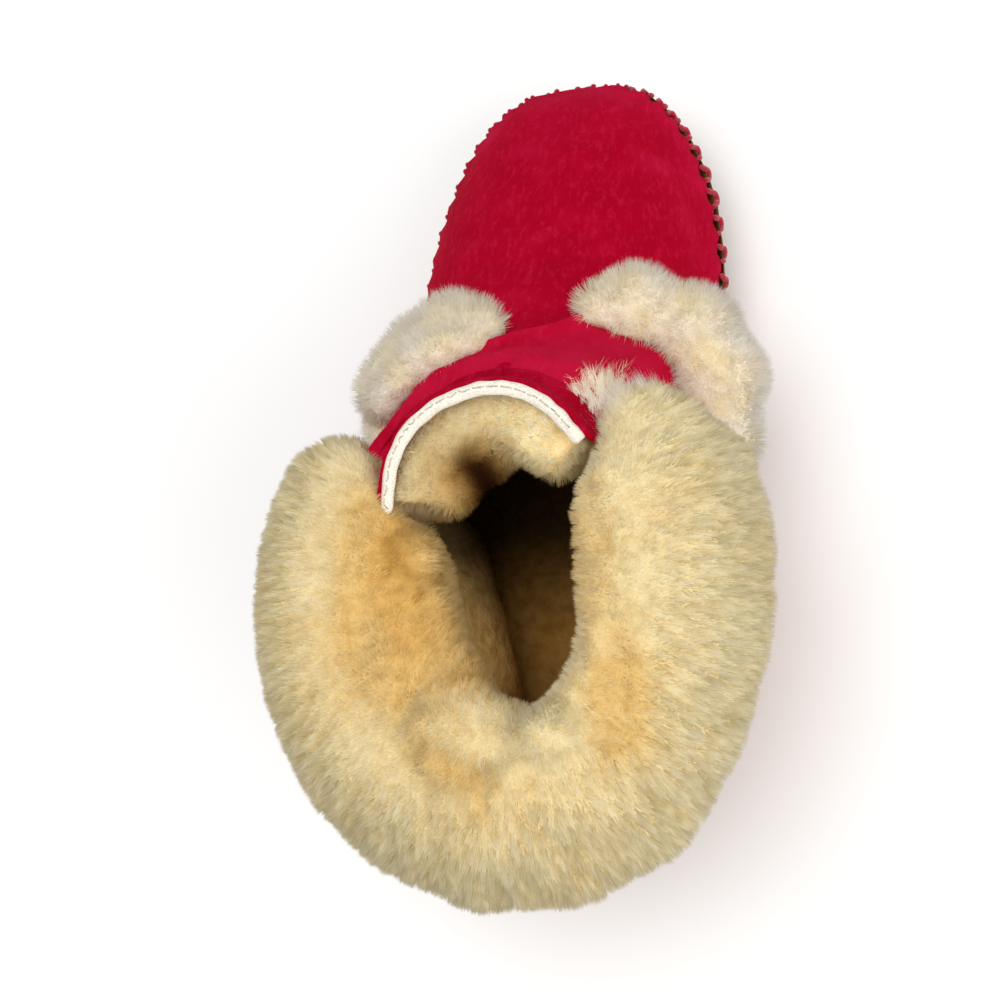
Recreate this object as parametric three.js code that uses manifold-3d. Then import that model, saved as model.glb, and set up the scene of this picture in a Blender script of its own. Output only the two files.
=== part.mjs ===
// Bootie slipper, left shoe: moccasin bottom, red suede upper, deep wool cuff.
// Millimetres. +Z up, +Y to the toe, +X to the inner (medial) side.
// The origin is on the floor under the middle of the heel.
import * as THREE from "three";
import { mergeVertices } from "three/addons/utils/BufferGeometryUtils.js";
import Module from "manifold-3d";

const wasm = await Module();
wasm.setup();

// Main sizes
const HEEL_BACK_Y = -50;
const TOE_Y = 212;
const SUEDE = 2.0;
const GAP = 0.4;
const CUT_TIDY = 0.01;
const LOCK_TIDY = 0.35;
const OUTSOLE_THICK = 4.5;
const OUTSOLE_BEVEL = 0.6;
const ARCH_RISE = 1.2;
const ARCH_FROM_Y = 36;
const ARCH_TO_Y = 98;
const SPRING_FROM_Y = 150;
const TOE_SPRING = 8;
const WRAP_EDGE_Z = 26;
const WRAP_CORNER = 12;
const WRAP_SCALLOP = 1.8;
const UPPER_INSET = 3.8;
const UPPER_FOOT_Z = 17;
const STITCHES = 64;

// Plan outlines: half-widths each side of the axis, at stations along the foot
const FOOT_PLAN = {
  midY: (TOE_Y + HEEL_BACK_Y) / 2,
  halfLength: (TOE_Y - HEEL_BACK_Y) / 2,
  roundness: 0.72,
  widths: [
    { y: -50, medial: 60, lateral: 60 },
    { y: 0, medial: 58.5, lateral: 59.5 },
    { y: 68, medial: 49, lateral: 53 },
    { y: 136, medial: 60, lateral: 61.5 },
    { y: 212, medial: 65, lateral: 67 },
  ],
};
const OUTSOLE_PLAN = {
  midY: 81.5,
  halfLength: 121.5,
  roundness: 0.72,
  widths: [
    { y: -40, medial: 54, lateral: 54 },
    { y: 0, medial: 46, lateral: 47 },
    { y: 82, medial: 35, lateral: 41 },
    { y: 148, medial: 54, lateral: 55 },
    { y: 203, medial: 60, lateral: 58 },
  ],
};

// Ridge of the vamp, from the front of the collar to the top of the toe
const RIDGE = [
  { y: 75, z: 103 },
  { y: 80, z: 94 },
  { y: 88, z: 85.5 },
  { y: 99, z: 78.5 },
  { y: 114, z: 72.5 },
  { y: 135, z: 66.5 },
  { y: 158, z: 60 },
  { y: 180, z: 52.5 },
];
const TOE_TOP_AT = 192;

// Rim of the shaft: an ellipse in plan, its height along the foot
const RIM = { midX: 3, midY: 14, halfLength: 61, halfWidth: 46 };
const RIM_HEIGHT = [
  { y: -47, z: 108 },
  { y: 16, z: 106 },
  { y: 52, z: 104.5 },
  { y: 75, z: 103 },
];

// Profile of the wall by station of its foot: rise and lean of the side,
// reach of the crown and the slope in which it meets the ridge or rim
const WALL = [
  { y: -50, rise: 30, medial: 1, lateral: 1, crown: 32, slope: 94 },
  { y: 20, rise: 30, medial: 1, lateral: 2, crown: 32, slope: 89 },
  { y: 62, rise: 32, medial: 2, lateral: 4, crown: 30, slope: 80 },
  { y: 92, rise: 33, medial: 3, lateral: 6, crown: 28, slope: 56 },
  { y: 108, rise: 31, medial: 3, lateral: 7, crown: 28, slope: 16 },
  { y: 136, rise: 28, medial: 2, lateral: 7, crown: 32, slope: 5 },
  { y: 175, rise: 23, medial: 1, lateral: 5, crown: 26, slope: 9 },
  { y: 212, rise: 17, medial: 1, lateral: 1, crown: 18, slope: 14 },
];

// Instep band each side: its lower and upper edge as shares of the wall's height
const BAND_MEDIAL = [
  { y: 42, low: 0.5, high: 0.99 },
  { y: 70, low: 0.43, high: 0.99 },
  { y: 92, low: 0.37, high: 0.99 },
  { y: 104, low: 0.35, high: 0.99 },
  { y: 110, low: 0.39, high: 1 },
  { y: 116, low: 0.53, high: 1 },
  { y: 120, low: 0.64, high: 0.9 },
  { y: 123.5, low: 0.77, high: 0.79 },
];
const BAND_LATERAL = [
  { y: 42, low: 0.5, high: 0.99 },
  { y: 70, low: 0.5, high: 0.99 },
  { y: 92, low: 0.55, high: 0.99 },
  { y: 104, low: 0.65, high: 0.99 },
  { y: 110, low: 0.78, high: 1 },
  { y: 116, low: 1, high: 1 },
];
const BAND_STATIONS = [42, 50, 58, 66, 74, 82, 90, 98, 104, 107.5, 110.5, 113, 116];
const BAND_RIDGE_AT = 116;
const BAND_TIP_STATIONS = [118, 120, 122, 123.5];

// Tongue: shares of its sweep, from the lateral end to the medial end
const TONGUE = [
  { y: 0, inset: 12, height: 9, lean: 6, wool: 15 },
  { y: 0.2, inset: 6, height: 13, lean: 12, wool: 26 },
  { y: 0.5, inset: 4.2, height: 17, lean: 22, wool: 27 },
  { y: 0.8, inset: 4.4, height: 15, lean: 13, wool: 20 },
  { y: 1, inset: 4.8, height: 10, lean: 6, wool: 11 },
];
const TONGUE_FROM_DEG = -76;
const TONGUE_TO_DEG = 54;
const BAND_THICK = 2.2;
const BAND_LIFT = 0.6;
// Binding: lies on the wool from the tongue's edge, sloping into the shoe
const BINDING_THICK = 1.2;
const BINDING_WIDE = 2.8;
const BINDING_DROP = 1.6;
// Fullness of the tongue's wool at heights over the rim
const TONGUE_ROLL = [
  { y: -24, full: 0.6 },
  { y: -8, full: 1 },
  { y: 3, full: 0.9 },
  { y: 12, full: 0.42 },
];

// Section of the turned-down cuff about the rim: out from it and up from it
const CUFF_SECTION = [
  { out: 4, up: -45 },
  { out: 17, up: -46 },
  { out: 27, up: -40 },
  { out: 31.5, up: -29 },
  { out: 31.5, up: -15 },
  { out: 26, up: -2 },
  { out: 17, up: 8 },
  { out: 5, up: 13.5 },
  { out: -7, up: 13.5 },
  { out: -16, up: 7 },
  { out: -20, up: -4 },
  { out: -19, up: -18 },
  { out: -14, up: -32 },
  { out: -8, up: -42 },
  { out: -1, up: -45 },
];
// How deep the cuff's wool is inside the rim and outside it, round the shaft
const CUFF_DEPTH = [
  { y: 46, inside: 0.9, outside: 0.96 },
  { y: 70, inside: 0.88, outside: 0.91 },
  { y: 95, inside: 0.8, outside: 0.9 },
  { y: 122, inside: 0.56, outside: 0.98 },
  { y: 145, inside: 0.42, outside: 1.08 },
  { y: 165, inside: 1, outside: 1.04 },
  { y: 190, inside: 1.55, outside: 1 },
  { y: 225, inside: 1.7, outside: 1 },
  { y: 265, inside: 1.65, outside: 1 },
  { y: 309, inside: 1.2, outside: 1 },
];
const CUFF_FROM_DEG = 46;
const CUFF_TO_DEG = 309;
const CUFF_TAPER_DEG = 30;
const CUFF_STEPS = 36;

// Small helpers for tables, curves and faces
function readTable(rows, column, at) {
  const last = rows.length - 1;
  let i = 0;
  while (i < last - 1 && at > rows[i + 1].y) i += 1;
  const step = rows[i + 1].y - rows[i].y;
  const t = THREE.MathUtils.clamp((at - rows[i].y) / step, 0, 1);
  const slopeAt = (k) => {
    const a = rows[Math.max(k - 1, 0)];
    const b = rows[Math.min(k + 1, last)];
    return (b[column] - a[column]) / (b.y - a.y);
  };
  const h = t * t * (3 - 2 * t);
  const from = (t * t * t - 2 * t * t + t) * step * slopeAt(i);
  const to = (t * t * t - t * t) * step * slopeAt(i + 1);
  return rows[i][column] * (1 - h) + rows[i + 1][column] * h + from + to;
}

function geometryFrom(points, faces) {
  const flat = [];
  for (const p of points) flat.push(p.x, p.y, p.z);
  const raw = new THREE.BufferGeometry();
  raw.setAttribute("position", new THREE.Float32BufferAttribute(flat, 3));
  raw.setIndex(faces.flat());
  const merged = mergeVertices(raw, 1e-3);
  const index = merged.getIndex().array;
  const kept = [];
  for (let k = 0; k < index.length; k += 3) {
    const [a, b, c] = [index[k], index[k + 1], index[k + 2]];
    if (a !== b && b !== c && c !== a) kept.push(a, b, c);
  }
  merged.setIndex(kept);
  return merged;
}

// Open surface from a grid of points; columns run with the angle, rows go up
function gridSurface(columns, rows, closed, pointAt) {
  const points = [];
  const faces = [];
  const count = closed ? columns : columns + 1;
  for (let i = 0; i < count; i += 1) {
    for (let j = 0; j <= rows; j += 1) points.push(pointAt(i, j));
  }
  const at = (i, j) => (i % count) * (rows + 1) + j;
  for (let i = 0; i < columns; i += 1) {
    for (let j = 0; j < rows; j += 1) {
      faces.push([at(i, j), at(i + 1, j + 1), at(i + 1, j)]);
      faces.push([at(i, j), at(i, j + 1), at(i + 1, j + 1)]);
    }
  }
  return { points, faces };
}

function joinSurfaces(list) {
  const points = [];
  const faces = [];
  for (const part of list) {
    const start = points.length;
    points.push(...part.points);
    for (const face of part.faces) faces.push(face.map((k) => k + start));
  }
  return { points, faces };
}

// Closed shell between two lifts of an open surface along its normals
function shellBetween(surface, low, high) {
  const sheet = geometryFrom(surface.points, surface.faces);
  sheet.computeVertexNormals();
  const position = sheet.getAttribute("position");
  const normal = sheet.getAttribute("normal");
  const index = sheet.getIndex().array;
  const count = position.count;
  const points = [];
  for (const lift of [high, low]) {
    for (let k = 0; k < count; k += 1) {
      const p = new THREE.Vector3().fromBufferAttribute(position, k);
      const n = new THREE.Vector3().fromBufferAttribute(normal, k);
      points.push(p.addScaledVector(n, typeof lift === "number" ? lift : lift(p)));
    }
  }
  const faces = [];
  const used = new Set();
  for (let k = 0; k < index.length; k += 3) {
    const [a, b, c] = [index[k], index[k + 1], index[k + 2]];
    faces.push([a, b, c], [c + count, b + count, a + count]);
    used.add(`${a},${b}`).add(`${b},${c}`).add(`${c},${a}`);
  }
  for (const edge of used) {
    const [a, b] = edge.split(",").map(Number);
    if (used.has(`${b},${a}`)) continue;
    faces.push([b, a, a + count], [b, a + count, b + count]);
  }
  return geometryFrom(points, faces);
}

// Closed solid from rings; the first and last are closed by strips across
function ringSolid(rings) {
  const count = rings[0].length;
  const points = rings.flat();
  const faces = [];
  const at = (r, i) => r * count + ((i + count) % count);
  for (let r = 0; r + 1 < rings.length; r += 1) {
    for (let i = 0; i < count; i += 1) {
      faces.push([at(r, i), at(r + 1, i + 1), at(r, i + 1)]);
      faces.push([at(r, i), at(r + 1, i), at(r + 1, i + 1)]);
    }
  }
  const top = rings.length - 1;
  for (let k = 0; k < count / 2; k += 1) {
    faces.push([at(0, k), at(0, k + 1), at(0, -k - 1)]);
    faces.push([at(0, k), at(0, -k - 1), at(0, -k)]);
    faces.push([at(top, k), at(top, -k - 1), at(top, k + 1)]);
    faces.push([at(top, k), at(top, -k), at(top, -k - 1)]);
  }
  return geometryFrom(points, faces);
}

function toSolid(geometry) {
  const position = geometry.getAttribute("position");
  const mesh = new wasm.Mesh({
    numProp: 3,
    vertProperties: Float32Array.from(position.array),
    triVerts: Uint32Array.from(geometry.getIndex().array),
  });
  mesh.merge();
  return new wasm.Manifold(mesh);
}

function toGeometry(solid) {
  const mesh = solid.getMesh();
  const points = [];
  for (let k = 0; k < mesh.numVert; k += 1) {
    const p = mesh.vertProperties.subarray(k * mesh.numProp, k * mesh.numProp + 3);
    points.push(new THREE.Vector3(p[0], p[1], p[2]));
  }
  const faces = [];
  for (let k = 0; k < mesh.numTri; k += 1) {
    faces.push(Array.from(mesh.triVerts.subarray(k * 3, k * 3 + 3)));
  }
  return geometryFrom(points, faces);
}

// Sole line, outline and wall of the shoe
function soleLine(y) {
  const arch = THREE.MathUtils.clamp((y - ARCH_FROM_Y) / (ARCH_TO_Y - ARCH_FROM_Y), 0, 1);
  const spring = Math.max(0, (y - SPRING_FROM_Y) / (TOE_Y - SPRING_FROM_Y));
  return ARCH_RISE * Math.sin(Math.PI * arch) ** 2 + TOE_SPRING * spring * spring;
}

const sideOf = (angle) => (Math.sin(angle) >= 0 ? "medial" : "lateral");

function outline(plan, angle, inset) {
  const y = plan.midY + (plan.halfLength - inset) * Math.cos(angle);
  const across = Math.sin(angle);
  const width = readTable(plan.widths, sideOf(angle), y) - inset;
  const x = Math.sign(across) * width * Math.abs(across) ** plan.roundness;
  return new THREE.Vector2(Math.abs(across) < 1e-9 ? 0 : x, y);
}

function outwardAt(angle) {
  const a = outline(FOOT_PLAN, angle - 0.02, UPPER_INSET);
  const b = outline(FOOT_PLAN, angle + 0.02, UPPER_INSET);
  return new THREE.Vector3(-(b.y - a.y), b.x - a.x, 0).normalize();
}

function planRing(plan, count, inset, heightAt) {
  const ring = [];
  for (let i = 0; i < count; i += 1) {
    const p = outline(plan, (2 * Math.PI * i) / count, inset);
    ring.push(new THREE.Vector3(p.x, p.y, heightAt(p.y, i)));
  }
  return ring;
}

function rimPoint(degrees) {
  const turn = THREE.MathUtils.degToRad(degrees);
  const y = RIM.midY + RIM.halfLength * Math.cos(turn);
  const x = RIM.midX + RIM.halfWidth * Math.sin(turn);
  return new THREE.Vector3(x, y, readTable(RIM_HEIGHT, "z", y));
}

function rimOutward(degrees) {
  const turn = THREE.MathUtils.degToRad(degrees);
  const x = Math.sin(turn) / RIM.halfWidth;
  return new THREE.Vector3(x, Math.cos(turn) / RIM.halfLength, 0).normalize();
}

// The station that rises to the front of the collar is one of the wall's columns
const UPPER_COLUMNS = 60;
const UPPER_ROWS = 9;
const COLLAR_FRONT_AT = outline(FOOT_PLAN, (2 * Math.PI * 13) / UPPER_COLUMNS, UPPER_INSET).y;

// Where the wall that starts at a station ends: on the ridge or on the rim
function topOfWall(side, y) {
  if (y > COLLAR_FRONT_AT + 1e-6) {
    const t = Math.min(1, (y - COLLAR_FRONT_AT) / (TOE_TOP_AT - COLLAR_FRONT_AT));
    const ridgeY = THREE.MathUtils.lerp(RIDGE[0].y, RIDGE[RIDGE.length - 1].y, t);
    return new THREE.Vector3(RIM.midX * (1 - t) ** 2, ridgeY, readTable(RIDGE, "z", ridgeY));
  }
  const reach = y > RIM.midY ? COLLAR_FRONT_AT - RIM.midY : RIM.midY - HEEL_BACK_Y - UPPER_INSET;
  const cosine = THREE.MathUtils.clamp((y - RIM.midY) / reach, -1, 1);
  return rimPoint(side * THREE.MathUtils.radToDeg(Math.acos(cosine)));
}

function wallPoint(angle, v) {
  const foot = outline(FOOT_PLAN, angle, UPPER_INSET);
  const outward = outwardAt(angle);
  const row = (column) => readTable(WALL, column, foot.y);
  const slope = THREE.MathUtils.degToRad(row("slope"));
  const start = new THREE.Vector3(foot.x, foot.y, soleLine(foot.y) + UPPER_FOOT_Z);
  const end = topOfWall(Math.sign(Math.sin(angle)), foot.y);
  const rising = start.clone().addScaledVector(outward, row(sideOf(angle)));
  rising.z += row("rise");
  const closing = end.clone().addScaledVector(outward, row("crown") * Math.cos(slope));
  closing.z -= row("crown") * Math.sin(slope);
  return new THREE.CubicBezierCurve3(start, rising, closing, end).getPoint(v);
}

// Angle of the outline at a station, on one side
function angleAt(side, y) {
  const cosine = (y - FOOT_PLAN.midY) / (FOOT_PLAN.halfLength - UPPER_INSET);
  return side * Math.acos(THREE.MathUtils.clamp(cosine, -1, 1));
}

// Upper
const wall = gridSurface(UPPER_COLUMNS, UPPER_ROWS, true, (i, j) => (
  wallPoint((2 * Math.PI * i) / UPPER_COLUMNS, j / UPPER_ROWS)
));
const upper = shellBetween(wall, -SUEDE, 0);
// The room it takes, with play all round and past its two edges
const wallRoom = gridSurface(UPPER_COLUMNS, UPPER_ROWS + 2, true, (i, j) => {
  const angle = (2 * Math.PI * i) / UPPER_COLUMNS;
  const onRim = outline(FOOT_PLAN, angle, UPPER_INSET).y < COLLAR_FRONT_AT + 1e-6;
  const past = onRim ? 1.012 : 1;
  const share = j === 0 ? -0.012 : Math.min((j - 1) / UPPER_ROWS, 1);
  return wallPoint(angle, j === UPPER_ROWS + 2 ? past : share);
});
const upperRoom = toSolid(shellBetween(wallRoom, -SUEDE - GAP, GAP));

// Outsole
const outsole = ringSolid([
  planRing(OUTSOLE_PLAN, 72, OUTSOLE_BEVEL, (y) => soleLine(y)),
  planRing(OUTSOLE_PLAN, 72, 0, (y) => soleLine(y) + OUTSOLE_BEVEL),
  planRing(OUTSOLE_PLAN, 72, 0, (y) => soleLine(y) + OUTSOLE_THICK),
]);

// Sole wrap: flat bottom, rounded corner, scalloped edge, then back down inside
function makeWrap() {
  const floor = OUTSOLE_THICK + 0.3;
  const count = 2 * STITCHES;
  const corner = (turn, thick) => {
    const r = WRAP_CORNER - thick;
    const inset = thick + r * (1 - Math.sin(turn));
    const lift = floor + thick + r * (1 - Math.cos(turn));
    return planRing(FOOT_PLAN, count, inset, (y) => soleLine(y) + lift);
  };
  const edge = (inset) => planRing(FOOT_PLAN, count, inset, (y, i) => (
    soleLine(y) + WRAP_EDGE_Z - (i % 2 ? 0 : WRAP_SCALLOP)
  ));
  return ringSolid([
    corner(0, 0),
    corner(0.6, 0),
    corner(1.15, 0),
    edge(0.6),
    edge(0.6 + SUEDE),
    corner(1.0, SUEDE),
    corner(0, SUEDE),
  ]);
}

// Insole
const INSOLE_FLOOR = OUTSOLE_THICK + 0.3 + SUEDE + 0.3;
const insole = ringSolid([
  planRing(FOOT_PLAN, 64, 13, (y) => soleLine(y) + INSOLE_FLOOR),
  planRing(FOOT_PLAN, 64, 11.5, (y) => soleLine(y) + INSOLE_FLOOR + 3),
  planRing(FOOT_PLAN, 64, 12.5, (y) => soleLine(y) + INSOLE_FLOOR + 6.5),
]);

// After a cut the largest piece stays
function largest(solid) {
  const pieces = solid.asOriginal().simplify(CUT_TIDY).decompose();
  pieces.sort((a, b) => b.volume() - a.volume());
  return pieces[0];
}

// An overlay, cut where the upper and its play are
const laidOn = (geometry) => toGeometry(largest(toSolid(geometry).subtract(upperRoom)));

// Instep band, over the front of the shaft; grown a little for its room
function bandSide(side, grow) {
  const table = side > 0 ? BAND_MEDIAL : BAND_LATERAL;
  const stations = side > 0 ? [...BAND_STATIONS, ...BAND_TIP_STATIONS] : [...BAND_STATIONS];
  if (side > 0) stations.reverse();
  return gridSurface(stations.length - 1, 4, false, (i, j) => {
    const y = stations[i];
    const along = Math.min(1, (y - BAND_STATIONS[0]) / (BAND_RIDGE_AT - BAND_STATIONS[0]));
    const low = Math.min(1, readTable(table, "low", y)) - 0.035 * grow;
    const front = y > COLLAR_FRONT_AT + 3 && y <= BAND_RIDGE_AT;
    const high = front ? 1 : Math.min(0.99, readTable(table, "high", y)) + 0.03 * grow;
    const share = THREE.MathUtils.lerp(low, Math.max(low, Math.min(1, high)), j / 4);
    return wallPoint(angleAt(side, y + grow * THREE.MathUtils.lerp(-2, 2, along)), share);
  });
}
const bandSurface = (grow) => joinSurfaces([bandSide(1, grow), bandSide(-1, grow)]);
const band = laidOn(shellBetween(bandSurface(0), GAP - 0.2, BAND_LIFT + BAND_THICK));
const bandRoom = toSolid(shellBetween(bandSurface(1), 0, BAND_LIFT + BAND_THICK + 2 * GAP));

// Backstay, over the seam at the heel
const backstay = laidOn(shellBetween(gridSurface(4, 5, false, (i, j) => (
  wallPoint(Math.PI - 0.13 + 0.065 * i, 0.13 + 0.062 * j)
)), GAP - 0.2, GAP + 1.8));

// Tongue: follows the rim inside, then stands above it and leans back
function tonguePoint(share, up) {
  const degrees = THREE.MathUtils.lerp(TONGUE_FROM_DEG, TONGUE_TO_DEG, share);
  const row = (column) => readTable(TONGUE, column, share);
  const outward = rimOutward(degrees);
  const lean = THREE.MathUtils.degToRad(row("lean"));
  const rim = rimPoint(degrees).addScaledVector(outward, -row("inset"));
  const reach = up * row("height");
  if (up >= 0) {
    rim.addScaledVector(outward, -Math.sin(lean) * reach);
    rim.z += Math.cos(lean) * reach;
    return rim;
  }
  rim.addScaledVector(outward, -up * 4 * Math.max(0, Math.cos(THREE.MathUtils.degToRad(degrees))));
  rim.z += up * 16;
  return rim;
}

const TONGUE_COLUMNS = 20;
const tongueSheet = (from, to, rows, grow) => gridSurface(TONGUE_COLUMNS, rows, false, (i, j) => (
  tonguePoint(
    THREE.MathUtils.lerp(-grow, 1 + grow, i / TONGUE_COLUMNS),
    THREE.MathUtils.lerp(from, to, j / rows),
  )
));
const tongue = shellBetween(tongueSheet(-1, 1, 6, 0), -SUEDE, 0);
const tongueRoom = toSolid(shellBetween(tongueSheet(-1.1, 1.1, 6, 0.01), -SUEDE - GAP, GAP));
const bindingSheet = gridSurface(TONGUE_COLUMNS, 1, false, (i, j) => {
  const share = i / TONGUE_COLUMNS;
  const degrees = THREE.MathUtils.lerp(TONGUE_FROM_DEG, TONGUE_TO_DEG, share);
  const p = tonguePoint(share, 0.97);
  p.addScaledVector(rimOutward(degrees), -SUEDE - GAP - (1 - j) * BINDING_WIDE);
  p.z -= (1 - j) * BINDING_DROP;
  return p;
});
const binding = shellBetween(bindingSheet, -BINDING_THICK, 0);

// Locks of wool: long flat balls fused on to a fleece solid
function addLocks(solid, spots) {
  let grown = solid;
  for (const spot of spots) {
    const ball = new THREE.IcosahedronGeometry(1, 0);
    ball.deleteAttribute("normal");
    ball.deleteAttribute("uv");
    const side = new THREE.Vector3().crossVectors(spot.along, spot.facing).normalize();
    const along = new THREE.Vector3().crossVectors(spot.facing, side);
    ball.applyMatrix4(new THREE.Matrix4().makeBasis(
      side.multiplyScalar(spot.wide),
      along.multiplyScalar(spot.long),
      spot.facing.clone().multiplyScalar(spot.deep),
    ));
    ball.translate(spot.at.x, spot.at.y, spot.at.z);
    const lock = toSolid(mergeVertices(ball, 1e-4));
    grown = grown.add(lock);
  }
  return grown;
}

// Wool on the inner face of the tongue: a full roll, thin at the binding
const WOOL_IN = SUEDE + 0.5;
function woolAt(p) {
  const across = (p.x - RIM.midX) / RIM.halfWidth;
  const ahead = (p.y - RIM.midY) / RIM.halfLength;
  const degrees = THREE.MathUtils.radToDeg(Math.atan2(across, ahead));
  const share = THREE.MathUtils.inverseLerp(TONGUE_FROM_DEG, TONGUE_TO_DEG, degrees);
  const over = p.z - rimPoint(degrees).z;
  return readTable(TONGUE, "wool", share) * readTable(TONGUE_ROLL, "full", over);
}
const padSheet = tongueSheet(-1.3, 0.66, 7, -0.03);
const padRoom = toSolid(shellBetween(
  tongueSheet(-1.4, 1.1, 8, 0.02),
  (p) => -WOOL_IN - woolAt(p) - 1.5,
  -SUEDE / 2,
));
function makePad() {
  const spots = [];
  for (let i = 0; i < 7; i += 1) {
    const share = 0.12 + 0.11 * (i + 0.5);
    const here = tonguePoint(share, 0.2);
    const across = tonguePoint(share + 0.01, 0.2).sub(here);
    const along = tonguePoint(share, 0.25).sub(here).normalize();
    const facing = across.cross(along).normalize();
    here.addScaledVector(facing, WOOL_IN + woolAt(here) - 2.5);
    spots.push({ at: here, facing, along, wide: 6 + Math.sin(4 * i), long: 9, deep: 3.5 });
  }
  const pad = toSolid(shellBetween(padSheet, (p) => -WOOL_IN - woolAt(p), -WOOL_IN));
  return addLocks(pad, spots).asOriginal().simplify(LOCK_TIDY);
}

// Cuff
function cuffPoint(degrees, row) {
  const fromEnd = Math.min(degrees - CUFF_FROM_DEG, CUFF_TO_DEG - degrees);
  const t = THREE.MathUtils.clamp(fromEnd / CUFF_TAPER_DEG, 0, 1);
  const full = 0.25 + 0.75 * Math.sqrt(1 - (1 - t) * (1 - t));
  const inside = readTable(CUFF_DEPTH, "inside", degrees) * (0.15 + 0.85 * t * t * (3 - 2 * t));
  const outside = readTable(CUFF_DEPTH, "outside", degrees) * full;
  const outward = rimOutward(degrees);
  const p = rimPoint(degrees).addScaledVector(outward, row.out * (row.out < 0 ? inside : outside));
  p.z += row.up > 0 ? row.up * full : row.up * (0.55 + 0.45 * full);
  return p;
}

function makeCuff() {
  const span = CUFF_TO_DEG - CUFF_FROM_DEG;
  const section = CUFF_SECTION.length;
  const points = [];
  const faces = [];
  for (let i = 0; i <= CUFF_STEPS; i += 1) {
    const degrees = CUFF_FROM_DEG + (span * i) / CUFF_STEPS;
    for (const row of CUFF_SECTION) points.push(cuffPoint(degrees, row));
  }
  const at = (i, k) => i * section + (k % section);
  for (let i = 0; i < CUFF_STEPS; i += 1) {
    for (let k = 0; k < section; k += 1) {
      faces.push([at(i, k), at(i + 1, k + 1), at(i + 1, k)]);
      faces.push([at(i, k), at(i, k + 1), at(i + 1, k + 1)]);
    }
  }
  for (const end of [0, CUFF_STEPS]) {
    const middle = new THREE.Vector3();
    for (let k = 0; k < section; k += 1) middle.addScaledVector(points[at(end, k)], 1 / section);
    points.push(middle);
    const hub = points.length - 1;
    for (let k = 0; k < section; k += 1) {
      const pair = end ? [at(end, k + 1), at(end, k)] : [at(end, k), at(end, k + 1)];
      faces.push([hub, pair[1], pair[0]]);
    }
  }
  const spots = [];
  const rows = [
    { at: 3, count: 12, turn: 0.0 },
    { at: 6, count: 12, turn: 0.9 },
    { at: 9, count: 8, turn: 0.3 },
  ];
  for (const row of rows) {
    for (let i = 0; i < row.count; i += 1) {
      const share = (i + 0.5 + 0.5 * (row.turn - 0.5)) / row.count;
      const degrees = CUFF_FROM_DEG + 10 + (span - 20) * share;
      const here = cuffPoint(degrees, CUFF_SECTION[row.at]);
      const along = cuffPoint(degrees, CUFF_SECTION[row.at + 1]);
      along.sub(cuffPoint(degrees, CUFF_SECTION[row.at - 1])).normalize();
      const across = cuffPoint(degrees + 2, CUFF_SECTION[row.at]).sub(here);
      const facing = across.cross(along).normalize();
      const size = 1 + 0.16 * Math.sin(5 * i + 3 * row.at);
      spots.push({ at: here, facing, along, wide: 9.5 * size, long: 14.5, deep: 4.2 });
    }
  }
  const ring = toSolid(geometryFrom(points, faces));
  let cut = addLocks(ring, spots).asOriginal().simplify(LOCK_TIDY);
  for (const room of [upperRoom, bandRoom, tongueRoom, padRoom]) cut = cut.subtract(room);
  return largest(cut);
}

// Fleece trims: rolls laid on the vamp, cut away where the upper is
const TRIM_MEDIAL = [
  { x: 24.5, y: 100, z: 75, radius: 7.5 },
  { x: 35, y: 103, z: 71, radius: 12 },
  { x: 52, y: 96.5, z: 62, radius: 14 },
  { x: 59.5, y: 83, z: 57, radius: 13.5 },
  { x: 60, y: 65, z: 53, radius: 11 },
  { x: 57, y: 51, z: 50, radius: 8 },
];
const TRIM_LATERAL = [
  { x: -15, y: 96, z: 79, radius: 7.5 },
  { x: -25.5, y: 96.5, z: 75, radius: 12 },
  { x: -35, y: 90.5, z: 70.5, radius: 14 },
  { x: -42, y: 80.5, z: 65, radius: 13.5 },
  { x: -46, y: 67, z: 61, radius: 11.5 },
  { x: -11, y: 91, z: 85, radius: 7 },
  { x: -20, y: 89.5, z: 84.5, radius: 8.5 },
  { x: -30, y: 86.5, z: 84, radius: 9.5 },
  { x: -39.5, y: 81, z: 82, radius: 9.5 },
  { x: -46.5, y: 77.5, z: 75, radius: 9 },
  { x: -11.5, y: 85.5, z: 90.5, radius: 6 },
  { x: -19, y: 81.5, z: 93.5, radius: 7 },
  { x: -26, y: 78.6, z: 93.5, radius: 7.5 },
  { x: -32.5, y: 74.6, z: 92.5, radius: 7.5 },
  { x: -38, y: 70.5, z: 89, radius: 7.5 },
];

function makeTrim(rows, taken) {
  let roll = null;
  for (const row of rows) {
    const ball = new THREE.IcosahedronGeometry(row.radius, 1);
    ball.deleteAttribute("normal");
    ball.deleteAttribute("uv");
    ball.translate(row.x, row.y, row.z);
    const solid = toSolid(mergeVertices(ball, 1e-4));
    roll = roll ? roll.add(solid) : solid;
  }
  roll = roll.asOriginal().simplify(LOCK_TIDY);
  for (const room of taken) roll = roll.subtract(room);
  return largest(roll);
}

const mesh = (name, geometry, color, roughness) => {
  const made = new THREE.Mesh(geometry, new THREE.MeshStandardMaterial({ color, roughness }));
  made.name = name;
  made.geometry.computeVertexNormals();
  return made;
};

const cuff = makeCuff();
const bandSolid = toSolid(band);
const TRIM_GAP = 0.4;
const bandShifts = [
  [TRIM_GAP, 0, 0],
  [-TRIM_GAP, 0, 0],
  [0, TRIM_GAP, 0],
  [0, -TRIM_GAP, 0],
  [0, 0, TRIM_GAP],
  [0, 0, -TRIM_GAP],
];
const TRIM_CUTS = [upperRoom, bandRoom, ...bandShifts.map((by) => bandSolid.translate(by)), cuff];

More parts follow.
